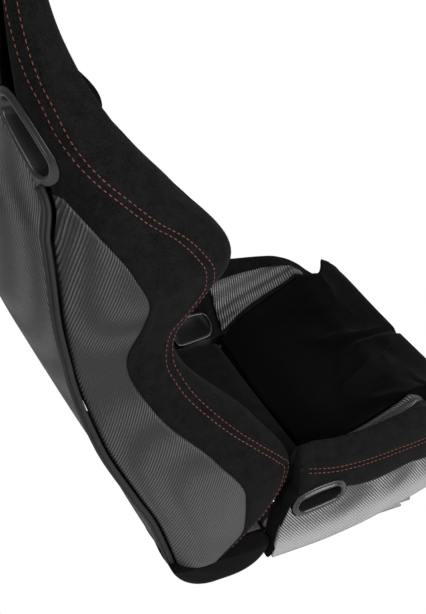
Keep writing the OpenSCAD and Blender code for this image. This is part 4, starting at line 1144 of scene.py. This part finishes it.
def build_apron():
    """Vinyl-covered board across the front, under the cushion."""
    half, low, high = FRONT_HALF - 22, BASE_Z, mat_z(-242) + 3.5
    rows = []
    for y, inset in APRON:
        edge = []
        for x in linspace(-half + inset, half - inset, 60):
            notch = NOTCH_R**2 - x * x
            rise = sqrt(notch) - NOTCH_DROP if notch > 0 else 0
            edge.append((x, y, low + inset + max(0, rise)))
        edge += [(x, y, high - inset) for x in linspace(half - inset, -half + inset, 60)]
        rows.append(edge)
    return grid("apron_cover", rows)


# ---- sewing
def surface(obj):
    """A tree for finding places on the cover."""
    bm = bmesh.new()
    bm.from_mesh(obj.data)
    tree = BVHTree.FromBMesh(bm)
    bm.free()
    return tree


INWARD = Vector((-1, 0, 0))


def on_cover(tree, path):
    """Each point of path, in mm, moved inward onto the cover: points and outward normals."""
    found = []
    for p in path:
        start = Vector(p) * 0.001
        hit, normal, *_ = tree.ray_cast(start - INWARD * 0.06, INWARD, 0.12)
        if hit is None:
            hit, normal, *_ = tree.find_nearest(start)
        if normal.dot(INWARD) > 0:
            normal = -normal
        found.append((np.array(hit) * 1000, np.array(normal)))
    return found


def evenly(path, step):
    """Points along path, step mm apart."""
    path = np.array(path, float)
    run = np.concatenate([[0], np.cumsum(np.linalg.norm(np.diff(path, axis=0), axis=1))])
    marks = arange(0, run[-1], step)
    return np.stack([np.interp(marks, run, path[:, k]) for k in range(3)], 1)


# Rings of a stitch: how far along it, height and thickness as shares of its radius
STITCH = ((0, -0.5, 0.35), (0.1, 0.1, 0.8), (0.3, 0.5, 1), (0.5, 0.62, 1.05), (0.7, 0.5, 1), (0.9, 0.1, 0.8),
          (1, -0.5, 0.35))
STITCH_SIDES, STITCH_L, STITCH_GAP, STITCH_R = 6, 4.7, 2.7, 0.5


def stitches(name, tree, path):
    """A row of stitches: each is a short thread that rises from the cloth and goes back in."""
    verts, faces = [], []
    tail = (len(STITCH) - 1) * STITCH_SIDES
    one = skin_faces(len(STITCH), STITCH_SIDES)
    one += [tuple(range(STITCH_SIDES - 1, -1, -1)), tuple(range(tail, tail + STITCH_SIDES))]
    marks = evenly(path, (STITCH_L + STITCH_GAP) / 2)
    for a, b in zip(marks[::2], marks[1::2]):
        b = a + (b - a) / np.linalg.norm(b - a) * STITCH_L
        (pa, na), (pb, nb) = on_cover(tree, [a, b])
        along = (pb - pa) / max(1e-6, np.linalg.norm(pb - pa))
        normal = na + nb
        normal = normal - along * (normal @ along)
        normal /= np.linalg.norm(normal)
        side = np.cross(along, normal)
        faces += [tuple(len(verts) + k for k in face) for face in one]
        for t, lift, size in STITCH:
            centre = mix(pa, pb, t) + normal * (lift * STITCH_R * 1.1)
            for k in range(STITCH_SIDES):
                w = 2 * pi * k / STITCH_SIDES
                verts.append(centre + STITCH_R * size * (cos(w) * side + 0.8 * sin(w) * normal))
    return outward(piece(name, verts, faces))


def double_row(name, cover, rows):
    tree = surface(cover)
    return joined(name, [stitches(end, tree, row) for end, row in zip("ab", rows)])


# ---- the covered seat
def place(obj, body, material, slot, *nodes):
    """Gives a piece its body and material, and hides the CAD nodes that it stands for. slot: not used."""
    obj.data.materials.clear()
    obj.data.materials.append(material)
    if nodes:
        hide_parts(*nodes)
    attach(obj, body)
    return obj


def both(left, body, material, slot, node=None):
    """The left piece and its mirror image. Names end in _l and _r."""
    right_one = mirrored(left, left.name[:-1] + "r")
    for obj, end in ((left, "l"), (right_one, "r")):
        place(obj, body, material, slot, *([f"{node}_{end}"] if node else []))
    return left, right_one


bolster = build_bolster()
side_cover = build_side_cover()
levels = list(arange(WING_Z + 14, TOP_Z - 10, 2.0))
rows = [[(xs(stitch_y(z), z), stitch_y(z) + s * at(ROW_HALF, z), z) for z in levels] for s in (-1, 1)]
both(double_row("thread_l", bolster, rows), "backrest", RED, "suede")
both(bolster, "backrest", SUEDE, "suede", "back_bolster")
both(side_cover, "backrest", SIDE_VINYL, "panel_vinyl", "side_panel")
both(build_piping(), "backrest", PIPING, "piping", "piping")
both(build_harness_bezel(), "backrest", BEZEL, "bezel", "harness_bezel")
place(build_back_cover(), "backrest", BACK_VINYL, "panel_vinyl", "back_panel")
for pad in (place(build_back_pad(), "backrest", INSERT, "insert_cloth", "back_cushion"),
            place(build_head_pad(), "backrest", SUEDE, "suede", "head_cushion")):
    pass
place(build_boot(), "backrest", BOOT, "boot_cloth", "boot_centre")
both(build_boot_cap(), "backrest", BOOT, "boot_cloth", "boot_cap")

base = build_base_cover()
depths = list(arange(-226, 54, 2.0))
rows = [[(base_x(y, base_stitch_z(y)), y, base_stitch_z(y) + s * BASE_ROW_HALF) for y in depths]
        for s in (-1, 1)]
both(double_row("base_thread_l", base, rows), "seat_base", RED, "suede")
both(base, "seat_base", SUEDE, "suede", "base_bolster")
both(build_base_side(), "seat_base", BASE_VINYL, "panel_vinyl", "base_panel")
both(build_lap_bezel(), "seat_base", BEZEL, "bezel", "lap_bezel")
both(build_inlay(), "seat_base", INLAY_VINYL, "inlay_vinyl", "bolster_inlay")
place(build_seat_insert(), "seat_base", INSERT, "insert_cloth", "cushion_insert")
place(build_seat_rear(), "seat_base", REAR_SUEDE, "rear_suede", "cushion_rear")
place(build_apron(), "seat_base", BASE_VINYL, "panel_vinyl", "front_apron")

# ---- CAD nodes that stay in view
def pairs(*names):
    return [f"{name}_{end}" for name in names for end in "lr"]


KEPT = {
    RAIL: pairs("lower_rail", "rail_feet", "upper_rail", "handle_pivot"),
    ZINC: ["beam_bolts", "pivot_rod"] + pairs("recliner_disc", "arm_disc"),
    FRAME: ["cross_beam_front", "cross_beam_rear", "front_tube", "rear_tube", "back_cross_bars", "head_hoop",
            "slide_bar"] + pairs("side_plate", "recliner_arm", "back_tube"),
    WIRE: ["seat_wires", "back_wires"], TRAY: ["seat_tray"], BEZEL: pairs("harness_trim"),
    LEVER: ["lever_arm"], GRIP: ["lever_grip", "slide_grip"],
}
for material, names in KEPT.items():
    for name in names:
        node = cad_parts[name]
        node.data.materials.clear()
        node.data.materials.append(material)

# ---- floor and light
def white_to_camera(tree, lit, kind, output):
    """Shows the camera plain white there, while lit still lights the seat."""
    white = tree.nodes.new(kind)
    white.inputs["Color"].default_value = (1, 1, 1, 1)
    seen, pick = tree.nodes.new("ShaderNodeLightPath"), tree.nodes.new("ShaderNodeMixShader")
    for source, target in ((seen.outputs["Is Camera Ray"], pick.inputs[0]), (lit.outputs[0], pick.inputs[1]),
                           (white.outputs[0], pick.inputs[2]),
                           (pick.outputs[0], tree.nodes[output].inputs["Surface"])):
        tree.links.new(source, target)


FLOOR_HALF = 30
corners = [(-1, -1), (1, -1), (1, 1), (-1, 1)]
floor_mesh = bpy.data.meshes.new("floor")
floor_mesh.from_pydata([(x * FLOOR_HALF, y * FLOOR_HALF, 0) for x, y in corners], [], [(0, 1, 2, 3)])
floor = linked("floor", floor_mesh)
floor_look = Nodes("floor")
floor_look.set(Base_Color=(0.85, 0.85, 0.85, 1), Roughness=0.8)
white_to_camera(floor_look.tree, floor_look.shader, "ShaderNodeEmission", "Material Output")
floor_mesh.materials.append(floor_look.material)

world = bpy.data.worlds.new("world")
scene.world = world
world.use_nodes = True
sky = world.node_tree.nodes["Background"]
sky.inputs["Color"].default_value = (1, 1, 1, 1)
sky.inputs["Strength"].default_value = 0.28
white_to_camera(world.node_tree, sky, "ShaderNodeBackground", "World Output")


def lamp(name, place_at, aim, size, power):
    """An area light, in metres and watts, turned to its aim."""
    data = bpy.data.lights.new(name, "AREA")
    data.shape = "RECTANGLE"
    data.size, data.size_y = size
    data.energy = power
    obj = linked(name, data)
    obj.location = place_at
    obj.rotation_euler = (Vector(aim) - Vector(place_at)).to_track_quat("-Z", "Y").to_euler()


lamp("key", (-2.4, -1.0, 1.9), (0, 0.1, 0.4), (1.6, 1.2), 70)
lamp("rear", (-1.5, 1.8, 1.7), (0, 0.2, 0.5), (1.4, 1.0), 22)
lamp("top", (-0.4, -0.6, 2.8), (0, 0, 0.3), (1.6, 1.6), 10)
